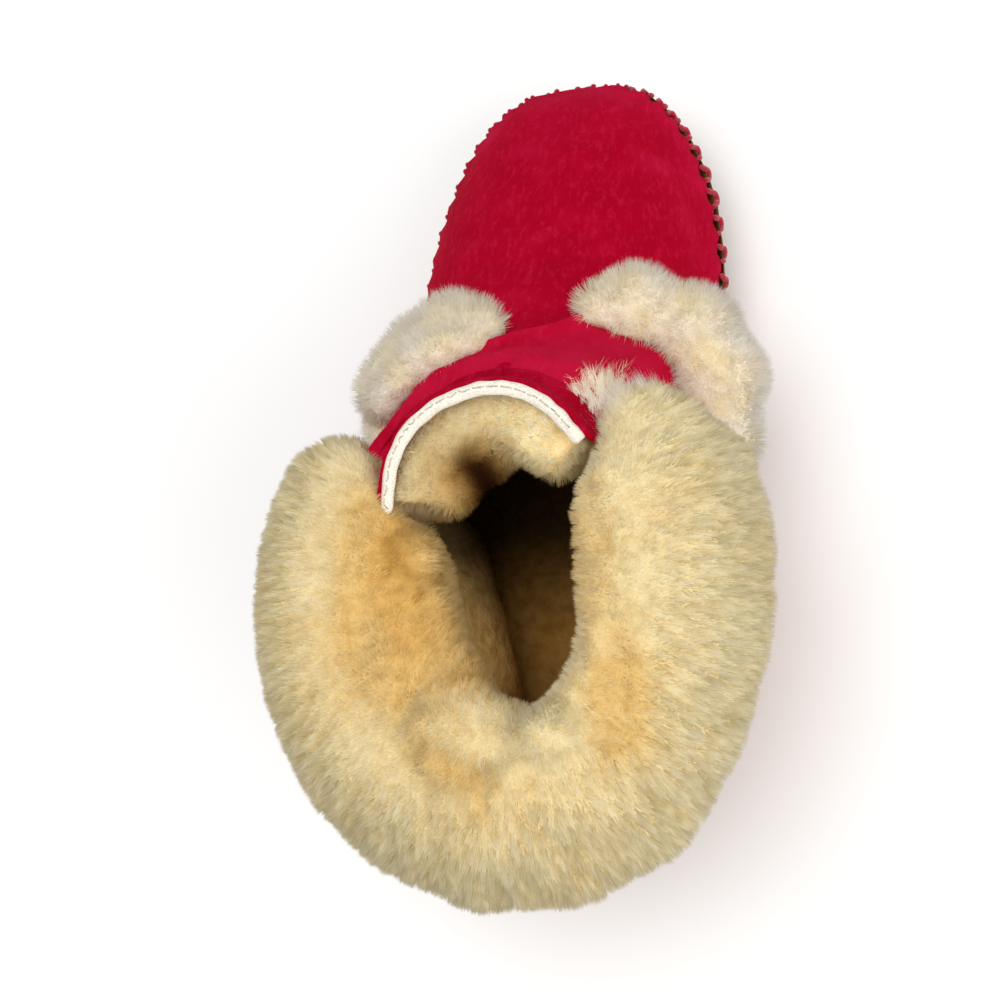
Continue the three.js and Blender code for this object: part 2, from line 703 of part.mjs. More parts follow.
const shoe = new THREE.Group();
shoe.name = "bootie_slipper";
shoe.add(mesh("outsole", outsole, 0x4a4d50, 0.9));
shoe.add(mesh("sole_wrap", makeWrap(), 0xb08a5c, 0.95));
shoe.add(mesh("insole", insole, 0xa9845a, 0.95));
shoe.add(mesh("upper", upper, 0xa80a2c, 0.9));
shoe.add(mesh("instep_band", band, 0xa80a2c, 0.9));
shoe.add(mesh("backstay", backstay, 0xa80a2c, 0.9));
shoe.add(mesh("tongue", tongue, 0xa80a2c, 0.9));
shoe.add(mesh("tongue_binding", binding, 0xe9e4dc, 0.9));
shoe.add(mesh("tongue_fleece", toGeometry(makePad()), 0xe8d5b0, 0.95));
shoe.add(mesh("cuff", toGeometry(cuff), 0xe8d5b0, 0.95));
shoe.add(mesh("fleece_trim_medial", toGeometry(makeTrim(TRIM_MEDIAL, TRIM_CUTS)), 0xe4dccd, 0.95));
shoe.add(mesh("fleece_trim_lateral", toGeometry(makeTrim(TRIM_LATERAL, TRIM_CUTS)), 0xe4dccd, 0.95));

export default shoe;
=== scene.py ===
import math

import bpy
import numpy as np
from mathutils import Matrix, Vector
from mathutils.bvhtree import BVHTree
from mathutils.kdtree import KDTree


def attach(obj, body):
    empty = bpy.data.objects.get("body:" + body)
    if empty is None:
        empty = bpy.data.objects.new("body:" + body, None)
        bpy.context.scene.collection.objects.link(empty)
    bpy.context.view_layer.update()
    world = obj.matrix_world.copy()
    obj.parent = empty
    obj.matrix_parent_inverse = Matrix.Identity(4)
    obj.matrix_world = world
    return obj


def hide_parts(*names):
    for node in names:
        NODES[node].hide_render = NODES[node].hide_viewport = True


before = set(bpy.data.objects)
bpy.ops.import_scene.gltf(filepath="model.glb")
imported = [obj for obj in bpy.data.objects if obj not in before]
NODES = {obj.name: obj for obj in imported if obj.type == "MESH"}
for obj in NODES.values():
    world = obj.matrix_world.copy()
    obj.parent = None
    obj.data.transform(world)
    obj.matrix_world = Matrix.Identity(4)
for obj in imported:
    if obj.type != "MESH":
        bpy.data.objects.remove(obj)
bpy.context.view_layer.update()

bl_info = {
    "name": "Bootie slipper",
    "version": (1, 0, 0),
    "blender": (4, 5, 0),
    "location": "3D View > Sidebar > Slipper",
    "description": "Dresses a suede and shearling bootie slipper on its solids",
    "category": "Object",
}

MM = 0.001


def linear(code):
    """sRGB hex to linear colour."""
    parts = [int(code[k:k + 2], 16) / 255 for k in (0, 2, 4)]
    return tuple(c / 12.92 if c <= 0.04045 else ((c + 0.055) / 1.055) ** 2.4 for c in parts)


# Sizes and colours that a user would change
def size_prop(name, text, millimetres):
    return bpy.props.FloatProperty(
        name=name, description=text, default=millimetres * MM, min=0.0,
        unit="LENGTH", subtype="DISTANCE", precision=5,
    )


def colour_prop(name, text, code):
    return bpy.props.FloatVectorProperty(
        name=name, description=text, default=linear(code), size=3, min=0.0, max=1.0, subtype="COLOR",
    )


class SlipperSizes(bpy.types.PropertyGroup):
    """Sizes of what is sewn and grown on the solids."""

    lace_radius: size_prop("Lace radius", "Half the thickness of the whip lace", 1.2)
    lace_drop: size_prop("Lace drop", "From the wrap's edge down to the lace's hole", 7.0)
    lace_rise: size_prop("Lace rise", "From the wrap's edge up to the lace on the upper", 3.4)
    sole_thread: size_prop("Sole thread radius", "Half the thickness of the sole's stitches", 0.48)
    sole_stitch: size_prop("Sole stitch", "Length of one stitch of the sole", 3.3)
    cuff_pile: size_prop("Cuff pile", "Length of the cuff's wool over its ground", 3.6)
    trim_pile: size_prop("Trim pile", "Length of the wool at the instep over its ground", 5.0)
    tongue_pile: size_prop("Tongue pile", "Length of the tongue's wool over its ground", 3.4)
    wisp: size_prop("Wisp", "Length of the loose wool at the cuff's front", 12.0)
    fibre_radius: size_prop("Fibre radius", "Half the thickness of a fibre's root", 0.16)
    lining_pile: size_prop("Lining pile", "Thickness of the wool inside the foot", 7.0)
    band_edge: size_prop("Band edge", "How far the band's front edge stands off the upper", 3.0)
    pucker: size_prop("Pucker", "How far the upper gathers between two laces", 0.8)


class SlipperColours(bpy.types.PropertyGroup):
    """Colours of suede, wool, rubber and thread."""

    red: colour_prop("Red suede", "Main colour of the upper", "A10020")
    red_dark: colour_prop("Red suede, brushed down", "Nap lying away from the light", "98001C")
    # Also painted along the upper's lower edge and toe: wear, and a painted highlight of the nap's sheen
    red_light: colour_prop("Red suede, brushed up", "Nap lying to the light and worn edges", "C31C46")
    # Paler than the upper as painted light: the band's tilted face catches more light
    band: colour_prop("Band suede", "The instep band, brushed paler than the upper", "B30F31")
    # Painted shade: the dark in the mouth of the foot under the tongue
    tunnel_shade: colour_prop("Tunnel wool", "Brown wool where the tongue goes down into the foot", "341804")
    tan: colour_prop("Tan suede", "Main colour of the sole wrap", "B07F49")
    tan_dark: colour_prop("Tan suede, brushed down", "Nap lying away from the light", "8A5D33")
    # The wrap's top edge: the cut edge's own colour and painted shade along the rim
    raw_edge: colour_prop("Tan suede, cut edge", "Dark cut edge of the wrap", "5F3C20")
    rubber: colour_prop("Rubber", "Main colour of the outsole", "53565A")
    rubber_scuff: colour_prop("Rubber, scuffed", "Dust and scuffs on the outsole", "8E8C86")
    lace: colour_prop("Lace", "Red whip lace", "B41230")
    thread: colour_prop("Sole thread", "Pale thread of the outsole", "C9BFAE")
    # Each root colour is darker than its tip: partly the wool's own tone, partly painted shade of the depth
    # among fibres that cast no shadows
    wool_tip: colour_prop("Wool tip", "Ends of the cream wool", "FFF3CE")
    wool_root: colour_prop("Wool root", "Cream wool between its ends", "E0C990")
    gold_tip: colour_prop("Golden wool tip", "Ends of the wool where it is golden", "F3CF86")
    gold_root: colour_prop("Golden wool root", "Golden wool in the depth", "D2A250")
    white_tip: colour_prop("White wool tip", "Ends of the greyish white trims", "FAF1E6")
    white_root: colour_prop("White wool root", "The trims between their ends", "DFD1BC")
    # The lining's brown is wool in painted shade
    lining: colour_prop("Lining wool", "Brown wool inside the foot", "BA8B47")
    # Painted shade: the dark that fills each lace hole
    hole: colour_prop("Lace hole", "Dark depth of the holes in the wrap", "3A2214")
    binding_thread: colour_prop("Binding thread", "Grey thread on the binding", "D6CDBA")
    binding: colour_prop("Binding", "White strip of the tongue's edge", "F3ECDD")


# Outline of the foot and of the outsole, as the solids have them, in millimetres
FOOT = {
    "mid": 81.0, "half": 131.0,
    "rows": ((-50, 60, 60), (0, 58.5, 59.5), (68, 49, 53), (136, 60, 61.5), (212, 65, 67)),
}
SOLE = {
    "mid": 81.5, "half": 121.5,
    "rows": ((-40, 54, 54), (0, 46, 47), (82, 35, 41), (148, 54, 55), (203, 60, 58)),
}
ROUNDNESS = 0.72
WRAP_EDGE = 26.0
STITCHES = 64
RIM_MID = (3.0, 14.0)
RIM_HALF = (46.0, 61.0)


def fade(value, start, length):
    """0 at the start, 1 a length further on; a negative length runs the other way."""
    return np.clip((value - start) / length, 0, 1)


def read_rows(rows, column, at):
    """Smooth value of one column between the rows of a table."""
    k = 0
    while k < len(rows) - 2 and at > rows[k + 1][0]:
        k += 1
    step = rows[k + 1][0] - rows[k][0]
    t = fade(at, rows[k][0], step)

    def slope(i):
        low, high = rows[max(i - 1, 0)], rows[min(i + 1, len(rows) - 1)]
        return (high[column] - low[column]) / (high[0] - low[0])

    h = t * t * (3 - 2 * t)
    grow = (t ** 3 - 2 * t * t + t) * step * slope(k) + (t ** 3 - t * t) * step * slope(k + 1)
    return rows[k][column] * (1 - h) + rows[k + 1][column] * h + grow


def outline(plan, angle, inset=0.0):
    """Point of an outline in millimetres; angle 0 is the toe, a quarter turn the inner side."""
    y = plan["mid"] + (plan["half"] - inset) * math.cos(angle)
    across = math.sin(angle)
    width = read_rows(plan["rows"], 1 if across >= 0 else 2, y) - inset
    return math.copysign(width * abs(across) ** ROUNDNESS, across), y


def sole_line(y):
    """Height of the underside over the floor, in millimetres."""
    arch = fade(y, 36.0, 62.0)
    spring = max(0.0, (y - 150.0) / 62.0)
    return 1.2 * math.sin(math.pi * arch) ** 2 + 8.0 * spring * spring


def toe_side(x, y):
    """1 on the inner side of the toe, 0 away from it."""
    return fade(x, 0, 25) * fade(y, 70, 40)


# Small helpers for objects and modifiers
def deselect():
    if bpy.context.object and bpy.context.object.mode != "OBJECT":
        bpy.ops.object.mode_set(mode="OBJECT")
    bpy.ops.object.select_all(action="DESELECT")


def activate(obj):
    deselect()
    obj.select_set(True)
    bpy.context.view_layer.objects.active = obj


def add_object(name, mesh):
    obj = bpy.data.objects.new(name, mesh)
    bpy.context.scene.collection.objects.link(obj)
    activate(obj)
    return obj


def new_object(name, points, faces):
    mesh = bpy.data.meshes.new(name)
    mesh.from_pydata(points, [], faces)
    mesh.update()
    return add_object(name, mesh)


def edit_all(*steps):
    """Runs edit mode operators, each a name and its settings, on the whole active mesh."""
    bpy.ops.object.mode_set(mode="EDIT")
    bpy.ops.mesh.select_all(action="SELECT")
    for operator, settings in steps:
        getattr(bpy.ops.mesh, operator)(**settings)
    bpy.ops.object.mode_set(mode="OBJECT")


def node_copy(node, name, quads=True):
    """A copy of a CAD node with its triangles joined, ready to be shaped."""
    obj = add_object(name, NODES[node].data.copy())
    obj.data.materials.clear()
    steps = [("remove_doubles", {"threshold": 2e-6})]
    if quads:
        limits = {"face_threshold": math.radians(60), "shape_threshold": math.radians(70)}
        steps.append(("tris_convert_to_quads", limits))
    edit_all(*steps)
    if obj.data.has_custom_normals:
        bpy.ops.mesh.customdata_custom_splitnormals_clear()
    bpy.ops.object.shade_smooth()
    return obj


def modify(obj, kind, **settings):
    """Adds a modifier with its settings and applies it."""
    activate(obj)
    bpy.ops.object.modifier_add(type=kind)
    made = obj.modifiers[-1]
    for key, value in settings.items():
        setattr(made, key, value)
    bpy.ops.object.modifier_apply(modifier=made.name)


def subdivide(obj, levels):
    modify(obj, "SUBSURF", levels=levels, render_levels=levels)


def remesh(obj, voxel):
    activate(obj)
    obj.data.remesh_voxel_size = voxel * MM
    obj.data.remesh_voxel_adaptivity = 0.0
    bpy.ops.object.voxel_remesh()
    bpy.ops.object.shade_smooth()


def read_points(obj, what="co"):
    """Places of a mesh's vertices in metres, one row each."""
    flat = np.empty(len(obj.data.vertices) * 3, dtype=np.float32)
    obj.data.vertices.foreach_get(what, flat)
    return flat.reshape(-1, 3).astype(float)


def read_normals(obj):
    return read_points(obj, "normal")


def write_points(obj, points):
    obj.data.vertices.foreach_set("co", points.astype(np.float32).ravel())
    obj.data.update()


def press(obj, depth):
    """Moves each vertex along its normal by depth(points in mm), in millimetres."""
    points = read_points(obj)
    write_points(obj, points + read_normals(obj) * (depth(points / MM) * MM)[:, None])


def waves(points, size, seed):
    """Soft uneven pattern from -1 to 1, with bumps of about that size in millimetres."""
    rng = np.random.default_rng(seed)
    total = np.zeros(len(points))
    for _ in range(5):
        way = rng.normal(size=3)
        way /= np.linalg.norm(way)
        total += np.sin(points @ way * (math.pi / size) * rng.uniform(0.7, 1.4) + rng.uniform(0, 6.28))
    return total / 3.2


def surface_of(obj):
    return BVHTree.FromObject(obj, bpy.context.evaluated_depsgraph_get())


def on_surface(tree, point, lift):
    """The nearest place on a surface, lifted off it, in metres."""
    spot, normal, _, _ = tree.find_nearest(Vector(point))
    return spot + normal * lift


def settle(obj, material, slot, *nodes):
    """Gives a finished piece its material and body, and hides the nodes that it stands for; the slot is not
    used.
    """
    obj.data.materials.clear()
    obj.data.materials.append(material)
    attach(obj, "root")
    if nodes:
        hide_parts(*nodes)


# Materials
def add_node(tree, kind, settings=None, links=None):
    """One node with its settings and its incoming links."""
    node = tree.nodes.new(kind)
    for key, value in (settings or {}).items():
        if isinstance(key, int) or key in node.inputs:
            node.inputs[key].default_value = value
        else:
            setattr(node, key, value)
    for key, source in (links or {}).items():
        tree.links.new(source, node.inputs[key])
    return node


def blank_material(name):
    material = bpy.data.materials.new(name)
    material.use_nodes = True
    material.node_tree.nodes.clear()
    return material, material.node_tree


def ramp_colours(node, stops):
    elements = node.color_ramp.elements
    while len(elements) < len(stops):
        elements.new(0.5)
    for element, (place, colour) in zip(elements, stops):
        element.position = place
        element.color = (*colour, 1.0)


def close_material(tree, settings, links, height=None, distance=0.0):
    """Ends a material: bump from its height if it has one, in millimetres, one shader, the output."""
    if height:
        bump = add_node(
            tree, "ShaderNodeBump", {"Strength": 1.0, "Distance": distance * MM}, {"Height": height},
        )
        links["Normal"] = bump.outputs["Normal"]
    shader = add_node(tree, "ShaderNodeBsdfPrincipled", settings, links)
    add_node(tree, "ShaderNodeOutputMaterial", {}, {"Surface": shader.outputs["BSDF"]})


def suede(name, main, dark, light, sheen, raw_edge=None, fleck=0.7):
    """Split leather with a brushed nap: no gloss, quiet patches, drawn out flecks where the nap lifts."""
    material, tree = blank_material(name)
    place = add_node(tree, "ShaderNodeTexCoord").outputs["Object"]
    # Nap patches about 16 mm across, flecks 2.5 mm, grain 0.5 mm drawn coarse enough to show
    drawn = add_node(tree, "ShaderNodeMapping", {"Scale": (1.0, 0.4, 1.0)}, {"Vector": place}).outputs[0]
    patches = add_node(
        tree, "ShaderNodeTexNoise", {"Scale": 62.0, "Detail": 1.0, "Roughness": 0.5}, {"Vector": place},
    ).outputs["Fac"]
    flecks = add_node(
        tree, "ShaderNodeTexNoise", {"Scale": 480.0, "Detail": 6.0, "Roughness": 0.75}, {"Vector": drawn},
    ).outputs["Fac"]
    grain = add_node(tree, "ShaderNodeTexNoise", {"Scale": 2000.0, "Detail": 2.0}, {"Vector": place})
    shade = add_node(tree, "ShaderNodeValToRGB", {}, {"Fac": patches})
    quiet = tuple(0.55 * a + 0.45 * b for a, b in zip(main, light))
    ramp_colours(shade, ((0.2, dark), (0.55, main), (1.0, quiet)))
    high = add_node(tree, "ShaderNodeMapRange", {"From Min": 0.5, "From Max": 0.78}, {"Value": flecks})
    lifted = add_node(
        tree, "ShaderNodeMath", {"operation": "MULTIPLY", 1: fleck, "use_clamp": True}, {0: high.outputs[0]},
    )
    colour = add_node(
        tree, "ShaderNodeMix", {"data_type": "RGBA", 7: (*light, 1.0)},
        {0: lifted.outputs[0], 6: shade.outputs["Color"]},
    )
    # An edge colour mixed in by a painted share: on the wrap, its cut edge with painted shade; on the upper,
    # wear with a painted sheen highlight
    if raw_edge:
        edge = add_node(tree, "ShaderNodeAttribute", {"attribute_name": "raw_edge"})
        colour = add_node(
            tree, "ShaderNodeMix", {"data_type": "RGBA", 7: (*raw_edge, 1.0)},
            {0: edge.outputs["Fac"], 6: colour.outputs[2]},
        )
    rough = add_node(
        tree, "ShaderNodeMath", {"operation": "MULTIPLY_ADD", 1: 0.5}, {0: grain.outputs["Fac"], 2: flecks},
    )
    close_material(tree, {
        "Roughness": 0.95, "IOR": 1.4, "Specular IOR Level": 0.05,
        "Sheen Weight": sheen, "Sheen Roughness": 0.3, "Sheen Tint": (*light, 1.0),
    }, {"Base Color": colour.outputs[2]}, rough.outputs[0], 0.4)
    return material


def rubber(name, main, scuff):
    """Moulded foam rubber: dark, dull, pebbled, with pale dust on the high spots."""
    material, tree = blank_material(name)
    place = add_node(tree, "ShaderNodeTexCoord").outputs["Object"]
    # Pebbles 1.6 mm apart, scuffs about 30 mm across
    pebbles = add_node(
        tree, "ShaderNodeTexVoronoi", {"Scale": 620.0, "feature": "SMOOTH_F1", "Smoothness": 0.4},
        {"Vector": place},
    )
    dust = add_node(
        tree, "ShaderNodeTexNoise", {"Scale": 33.0, "Detail": 6.0, "Roughness": 0.7}, {"Vector": place},
    ).outputs["Fac"]
    specks = add_node(tree, "ShaderNodeTexNoise", {"Scale": 700.0, "Detail": 2.0}, {"Vector": place})
    both = add_node(
        tree, "ShaderNodeMath", {"operation": "MULTIPLY_ADD", 1: 0.5}, {0: specks.outputs["Fac"], 2: dust},
    )
    shade = add_node(tree, "ShaderNodeValToRGB", {}, {"Fac": both.outputs[0]})
    ramp_colours(shade, ((0.6, main), (0.86, tuple(1.5 * c for c in main)), (1.0, scuff)))
    close_material(tree, {
        "Roughness": 0.85, "IOR": 1.5, "Specular IOR Level": 0.35,
    }, {"Base Color": shade.outputs["Color"]}, pebbles.outputs["Distance"], 0.5)
    return material


def wool(name):
    """Wool: each fibre has its tint from root to tip, the darker root partly painted shade of the depth, soft
    and without gloss.
    """
    material, tree = blank_material(name)
    tint = add_node(tree, "ShaderNodeAttribute", {"attribute_name": "wool_tint"}).outputs["Color"]
    close_material(tree, {
        "Roughness": 1.0, "IOR": 1.45, "Specular IOR Level": 0.1,
        "Sheen Weight": 0.2, "Sheen Roughness": 0.6,
    }, {"Base Color": tint, "Sheen Tint": tint})
    return material


def matted_wool(name):
    """Matted wool under the fibres: tinted in patches, uneven and dull."""
    material, tree = blank_material(name)
    place = add_node(tree, "ShaderNodeTexCoord").outputs["Object"]
    tint = add_node(tree, "ShaderNodeAttribute", {"attribute_name": "wool_tint"})
    # Tufts about 4 mm across, fibres 0.7 mm
    tufts = add_node(
        tree, "ShaderNodeTexNoise", {"Scale": 240.0, "Detail": 4.0}, {"Vector": place},
    ).outputs["Fac"]
    fibres = add_node(tree, "ShaderNodeTexNoise", {"Scale": 1400.0, "Detail": 2.0}, {"Vector": place})
    shade = add_node(tree, "ShaderNodeValToRGB", {}, {"Fac": tufts})
    ramp_colours(shade, ((0.3, (0.72, 0.66, 0.55)), (0.6, (1.0, 1.0, 1.0))))
    colour = add_node(
        tree, "ShaderNodeMix", {"data_type": "RGBA", "blend_type": "MULTIPLY", "Factor": 1.0},
        {6: tint.outputs["Color"], 7: shade.outputs["Color"]},
    )
    both = add_node(
        tree, "ShaderNodeMath", {"operation": "MULTIPLY_ADD", 1: 0.4}, {0: fibres.outputs["Fac"], 2: tufts},
    )
    close_material(tree, {
        "Roughness": 1.0, "IOR": 1.45, "Specular IOR Level": 0.1,
    }, {"Base Color": colour.outputs[2]}, both.outputs[0], 1.2)
    return material


def twisted(name, colour, pale, gap=0.6):
    """Spun lace or thread: dull, with fine fibres along it."""
    material, tree = blank_material(name)
    place = add_node(tree, "ShaderNodeTexCoord").outputs["Object"]
    # Fibres 0.5 mm apart
    fibres = add_node(
        tree, "ShaderNodeTexNoise", {"Scale": 1800.0, "Detail": 3.0}, {"Vector": place},
    ).outputs["Fac"]
    shade = add_node(tree, "ShaderNodeValToRGB", {}, {"Fac": fibres})
    ramp_colours(shade, ((0.35, tuple(gap * c for c in colour)), (0.55, colour), (0.75, pale)))
    close_material(tree, {
        "Roughness": 0.9, "IOR": 1.45, "Specular IOR Level": 0.2, "Sheen Weight": 0.3,
    }, {"Base Color": shade.outputs["Color"]}, fibres, 0.3)
    return material


# Shapes made in code from rows of rings
def ring_mesh(name, rings):
    """Closed solid from rings of points in mm, its ends closed by strips across."""
    count = len(rings[0])
    points = [tuple(c * MM for c in p) for ring in rings for p in ring]
    faces = []
    for r in range(len(rings) - 1):
        for i in range(count):
            n = (i + 1) % count
            faces.append((r * count + i, (r + 1) * count + i, (r + 1) * count + n, r * count + n))
    last = (len(rings) - 1) * count
    for k in range(count // 2):
        a, b, c, d = k, k + 1, count - k - 1, (count - k) % count
        faces.append(tuple(dict.fromkeys((a, b, c, d))))
        faces.append(tuple(dict.fromkeys((last + d, last + c, last + b, last + a))))
    return new_object(name, points, faces)


def tubes(name, paths, radius, sides=6):
    """Round bars along short paths, in metres, joined in one mesh, with closed ends."""
    points, faces = [], []
    for path in paths:
        start = len(points)
        path = [Vector(p) for p in path]
        for k, p in enumerate(path):
            ahead = (path[min(k + 1, len(path) - 1)] - path[max(k - 1, 0)]).normalized()
            side = ahead.orthogonal().normalized()
            other = ahead.cross(side)
            wide = radius * (0.85 if k in (0, len(path) - 1) else 1.0)
            for s in range(sides):
                turn = 2 * math.pi * s / sides
                points.append(p + (side * math.cos(turn) + other * math.sin(turn)) * wide)
        for k in range(len(path) - 1):
            for s in range(sides):
                a = start + k * sides + s
                b = start + k * sides + (s + 1) % sides
                faces.append((a, b, b + sides, a + sides))
        end = start + (len(path) - 1) * sides
        faces.append(tuple(start + s for s in reversed(range(sides))))
        faces.append(tuple(end + s for s in range(sides)))
    obj = new_object(name, points, faces)
    edit_all(("normals_make_consistent", {"inside": False}))
    bpy.ops.object.shade_smooth()
    return obj


# Wool: fibres rooted on a fleece form
# What painted shade takes from red, green and blue: at the partings of locks, round the tongue's mouth, deep
# inside the cuff and under the tongue, and outside the cuff
PARTING_PAINTED_SHADE = np.array((0.85, 1.0, 1.4))
TONGUE_PAINTED_SHADE = np.array((0.26, 0.38, 0.55))
INNER_PAINTED_SHADE = np.array((0.06, 0.17, 0.36))
OUTER_PAINTED_SHADE = np.array((0.12, 0.12, 0.13))


def scatter(obj, count, rng, weigh=None):
    """Random places on a mesh, even over its area or weighed, with the smooth normal there."""
    mesh = obj.data
    mesh.calc_loop_triangles()
    corners = np.empty(len(mesh.loop_triangles) * 3, dtype=np.int32)
    mesh.loop_triangles.foreach_get("vertices", corners)
    corners = corners.reshape(-1, 3)
    points, normals = read_points(obj), read_normals(obj)
    a, b, c = (points[corners[:, k]] for k in range(3))
    area = np.linalg.norm(np.cross(b - a, c - a), axis=1)
    if weigh:
        area = area * weigh((a + b + c) / 3 / MM, unit(normals[corners].sum(1)))
    pick = rng.choice(len(corners), size=count, p=area / area.sum())
    root, share = np.sqrt(rng.random(count)), rng.random(count)
    weights = np.stack([1 - root, root * (1 - share), root * share], 1)
    spots = (points[corners[pick]] * weights[:, :, None]).sum(1)
    facing = (normals[corners[pick]] * weights[:, :, None]).sum(1)
    return spots, unit(facing)


def unit(vectors):
    return vectors / np.maximum(np.linalg.norm(vectors, axis=-1, keepdims=True), 1e-9)


def mixed(a, b, share):
    """One colour, or rows of them, mixed with another by a share for each row."""
    return np.atleast_2d(a) * (1 - share[:, None]) + np.atleast_2d(b) * share[:, None]


def paint(obj, colours, name="wool_tint"):
    """Stores a colour for each vertex, for the material to read."""
    layer = obj.data.color_attributes.new(name, "FLOAT_COLOR", "POINT")
    rgba = np.ones((len(colours), 4), dtype=np.float32)
    rgba[:, :3] = colours
    layer.data.foreach_set("color", rgba.ravel())


def grow_wool(name, spots, facing, flow, pile, radius, tint, rng, gather=0.5, per_lock=34, stray=0.24,
              cells=None, parting_shade=0.0):
    """One mesh of pointed fibres whose tips gather a little into locks, with painted shade where locks part.

    Locks are the cells round random fibres; cells holds the fibres' places in the space that shapes them.
    """
    count = len(spots)
    locks = max(8, count // per_lock)
    heads = rng.choice(count, size=locks, replace=False)
    tree = KDTree(locks)
    space = spots if cells is None else cells
    for k, head in enumerate(heads):
        tree.insert(space[head], k)
    tree.balance()
    found = [tree.find_n(place, 2) for place in space]
    owner = np.array([near[0][1] for near in found])
    border = np.array([near[0][2] / max(near[1][2], 1e-9) for near in found])
    pile = np.broadcast_to(pile, count)
    lock_way = unit(facing[heads] + flow[heads] + rng.normal(scale=stray, size=(locks, 3)))
    lock_tip = spots[heads] + lock_way * (pile[heads] * rng.uniform(0.85, 1.15, locks))[:, None]
    way = unit(facing + flow + rng.normal(scale=stray, size=(count, 3)))
    loose = spots + way * (pile * rng.uniform(0.7, 1.1, count))[:, None]
    aside = spots - spots[heads][owner]
    drawn = lock_tip[owner] + 0.3 * aside
    if cells is not None:
        across = unit(np.cross(facing, flow))
        drawn = spots + lock_way[owner] * pile[:, None] - across * (0.7 * (aside * across).sum(1))[:, None]
    pull = (gather * rng.uniform(0.4, 1.3, count))[:, None]
    tips = loose * (1 - pull) + drawn * pull
    along = unit(tips - spots)
    side = unit(np.cross(along, rng.normal(size=(count, 3))))
    other = np.cross(along, side)
    wide = (radius * rng.uniform(0.7, 1.3, count))[:, None]
    sunk = spots - facing * 0.5 * MM
    points = np.empty((count, 4, 3))
    for k in range(3):
        turn = 2 * math.pi * k / 3
        points[:, k] = sunk + (side * math.cos(turn) + other * math.sin(turn)) * wide
    points[:, 3] = tips
    base = np.arange(count)[:, None, None] * 4
    faces = base + np.array([[0, 1, 3], [1, 2, 3], [2, 0, 3], [0, 2, 1]])[None]
    obj = new_object(name, points.reshape(-1, 3).tolist(), faces.reshape(-1, 3).tolist())
    root, tip = tint(spots / MM)
    dim = rng.random(locks)[owner]
    # Each lock gets a random tone, spread wider where the painted shade of partings is strong; then painted
    # shade at the lock borders
    bright = rng.uniform(0.88, 1.06, count) * (1.04 - (0.12 + 0.4 * parting_shade) * dim)
    bright = bright[:, None] * (1 - np.outer(parting_shade * border ** 3, PARTING_PAINTED_SHADE))
    # Roots take the darker root colour, partly painted shade of the depth, and tips the paler one
    shade = np.repeat((root * bright)[:, None, :], 4, axis=1)
    shade[:, 3] = np.minimum(tip * bright, 1.0)
    paint(obj, shade.reshape(-1, 3))
    soft = np.repeat(unit(unit(facing) + 0.3 * along), 4, axis=0)
    bpy.ops.object.shade_smooth()
    obj.data.normals_split_custom_set_from_vertices(soft.tolist())
    # Light passes between real fibres, which are far finer than these
    obj.visible_shadow = False
    obj.visible_diffuse = False
    return obj


def fleece_form(node, name, voxel, smooth, sink, spread, lumps):
    """The matted ground of a fleece solid: its own form, softened, sunk by the pile, with its lumps."""
    obj = node_copy(node, name, quads=False)
    remesh(obj, voxel)
    before = read_points(obj)
    modify(obj, "SMOOTH", factor=0.5, iterations=smooth)
    # Smoothing shrinks a round form, so each place gets back what its surroundings lost
    after = read_points(obj)
    lost = ((before - after) * read_normals(obj)).sum(1) / MM
    few = np.random.default_rng(3).permutation(len(after))[:1200]
    apart = np.linalg.norm(after[:, None, :] - after[few][None], axis=2) / MM
    near = np.exp(-(apart / spread) ** 2)
    back = near @ lost[few] / np.maximum(near.sum(1), 1e-6)
    press(obj, lambda p: back - sink + 0.4 * waves(p, 9.0, seed=4) + lumps(p))
    return obj


# Tufts, hollows and golden patches of the cuff: places in mm, radius, then height, depth or strength
CUFF_TUFTS = (
    ((6, -36, 119), 13, 3.5), ((-15, 13, 112), 7, 3.0), ((29, -35, 120), 7, 2.5),
    ((-16, -22, 118), 10, 1.8), ((33, 22, 112), 8, 1.6), ((-30, 34, 116), 10, 2.0),
    ((47, 58, 106), 9, 3.9), ((38, 57, 106), 8, 3.6), ((56, 57, 102), 8, 2.6),
)
INNER_TUFTS = CUFF_TUFTS[:3]
CUFF_HOLLOWS = (
    ((45, -10, 121), (48, -33, 121), 4.5, 3.2), ((-7, -40, 121), (13, -48, 121), 3.5, 2.4),
    ((-27, -14, 120), (-22, 6, 119), 5.0, 1.6), ((-77, -8, 95), (-44, -10, 119), 2.2, 2.0),
    ((-66, -36, 90), (-40, -26, 119), 2.2, 1.6), ((36, -74, 90), (25, -56, 117), 2.4, 1.5),
    ((70, 20, 90), (55, 22, 117), 2.4, 1.6), ((-8, -80, 88), (-3, -58, 117), 2.2, 1.5),
)
# Golden patches: the wool's own tone, and painted shade in the creases below the tufts and along the hollows
CUFF_GOLD = (
    ((-24, -12, 120), 17, 0.9), ((-27, 10, 120), 14, 0.7), ((-31, 28, 120), 12, 0.5),
    ((4, -45, 121), 11, 0.9), ((46, -20, 121), 9, 1.0), ((50, -35, 119), 10, 0.8),
    ((43, -2, 119), 9, 0.35), ((20, -50, 120), 14, 0.35), ((38, 20, 114), 9, 0.3),
    ((-12, -30, 119), 12, 0.5), ((-16, 38, 106), 12, 0.8), ((10, 48, 105), 9, 0.5),
)
# Places on the band that the loose wool of the cuff's ends reaches for
WISPS = (
    (25, 84, 91), (29, 80, 94), (33, 77, 96), (37, 77, 93), (41, 82, 84), (44, 87, 76),
    (48, 85, 72), (50, 80, 74), (29, 71, 103), (54, 76, 76), (22, 78, 99), (38, 74, 98),
    (46, 78, 80), (-43, 80, 80), (-50, 78, 72), (-54, 74, 68),
)
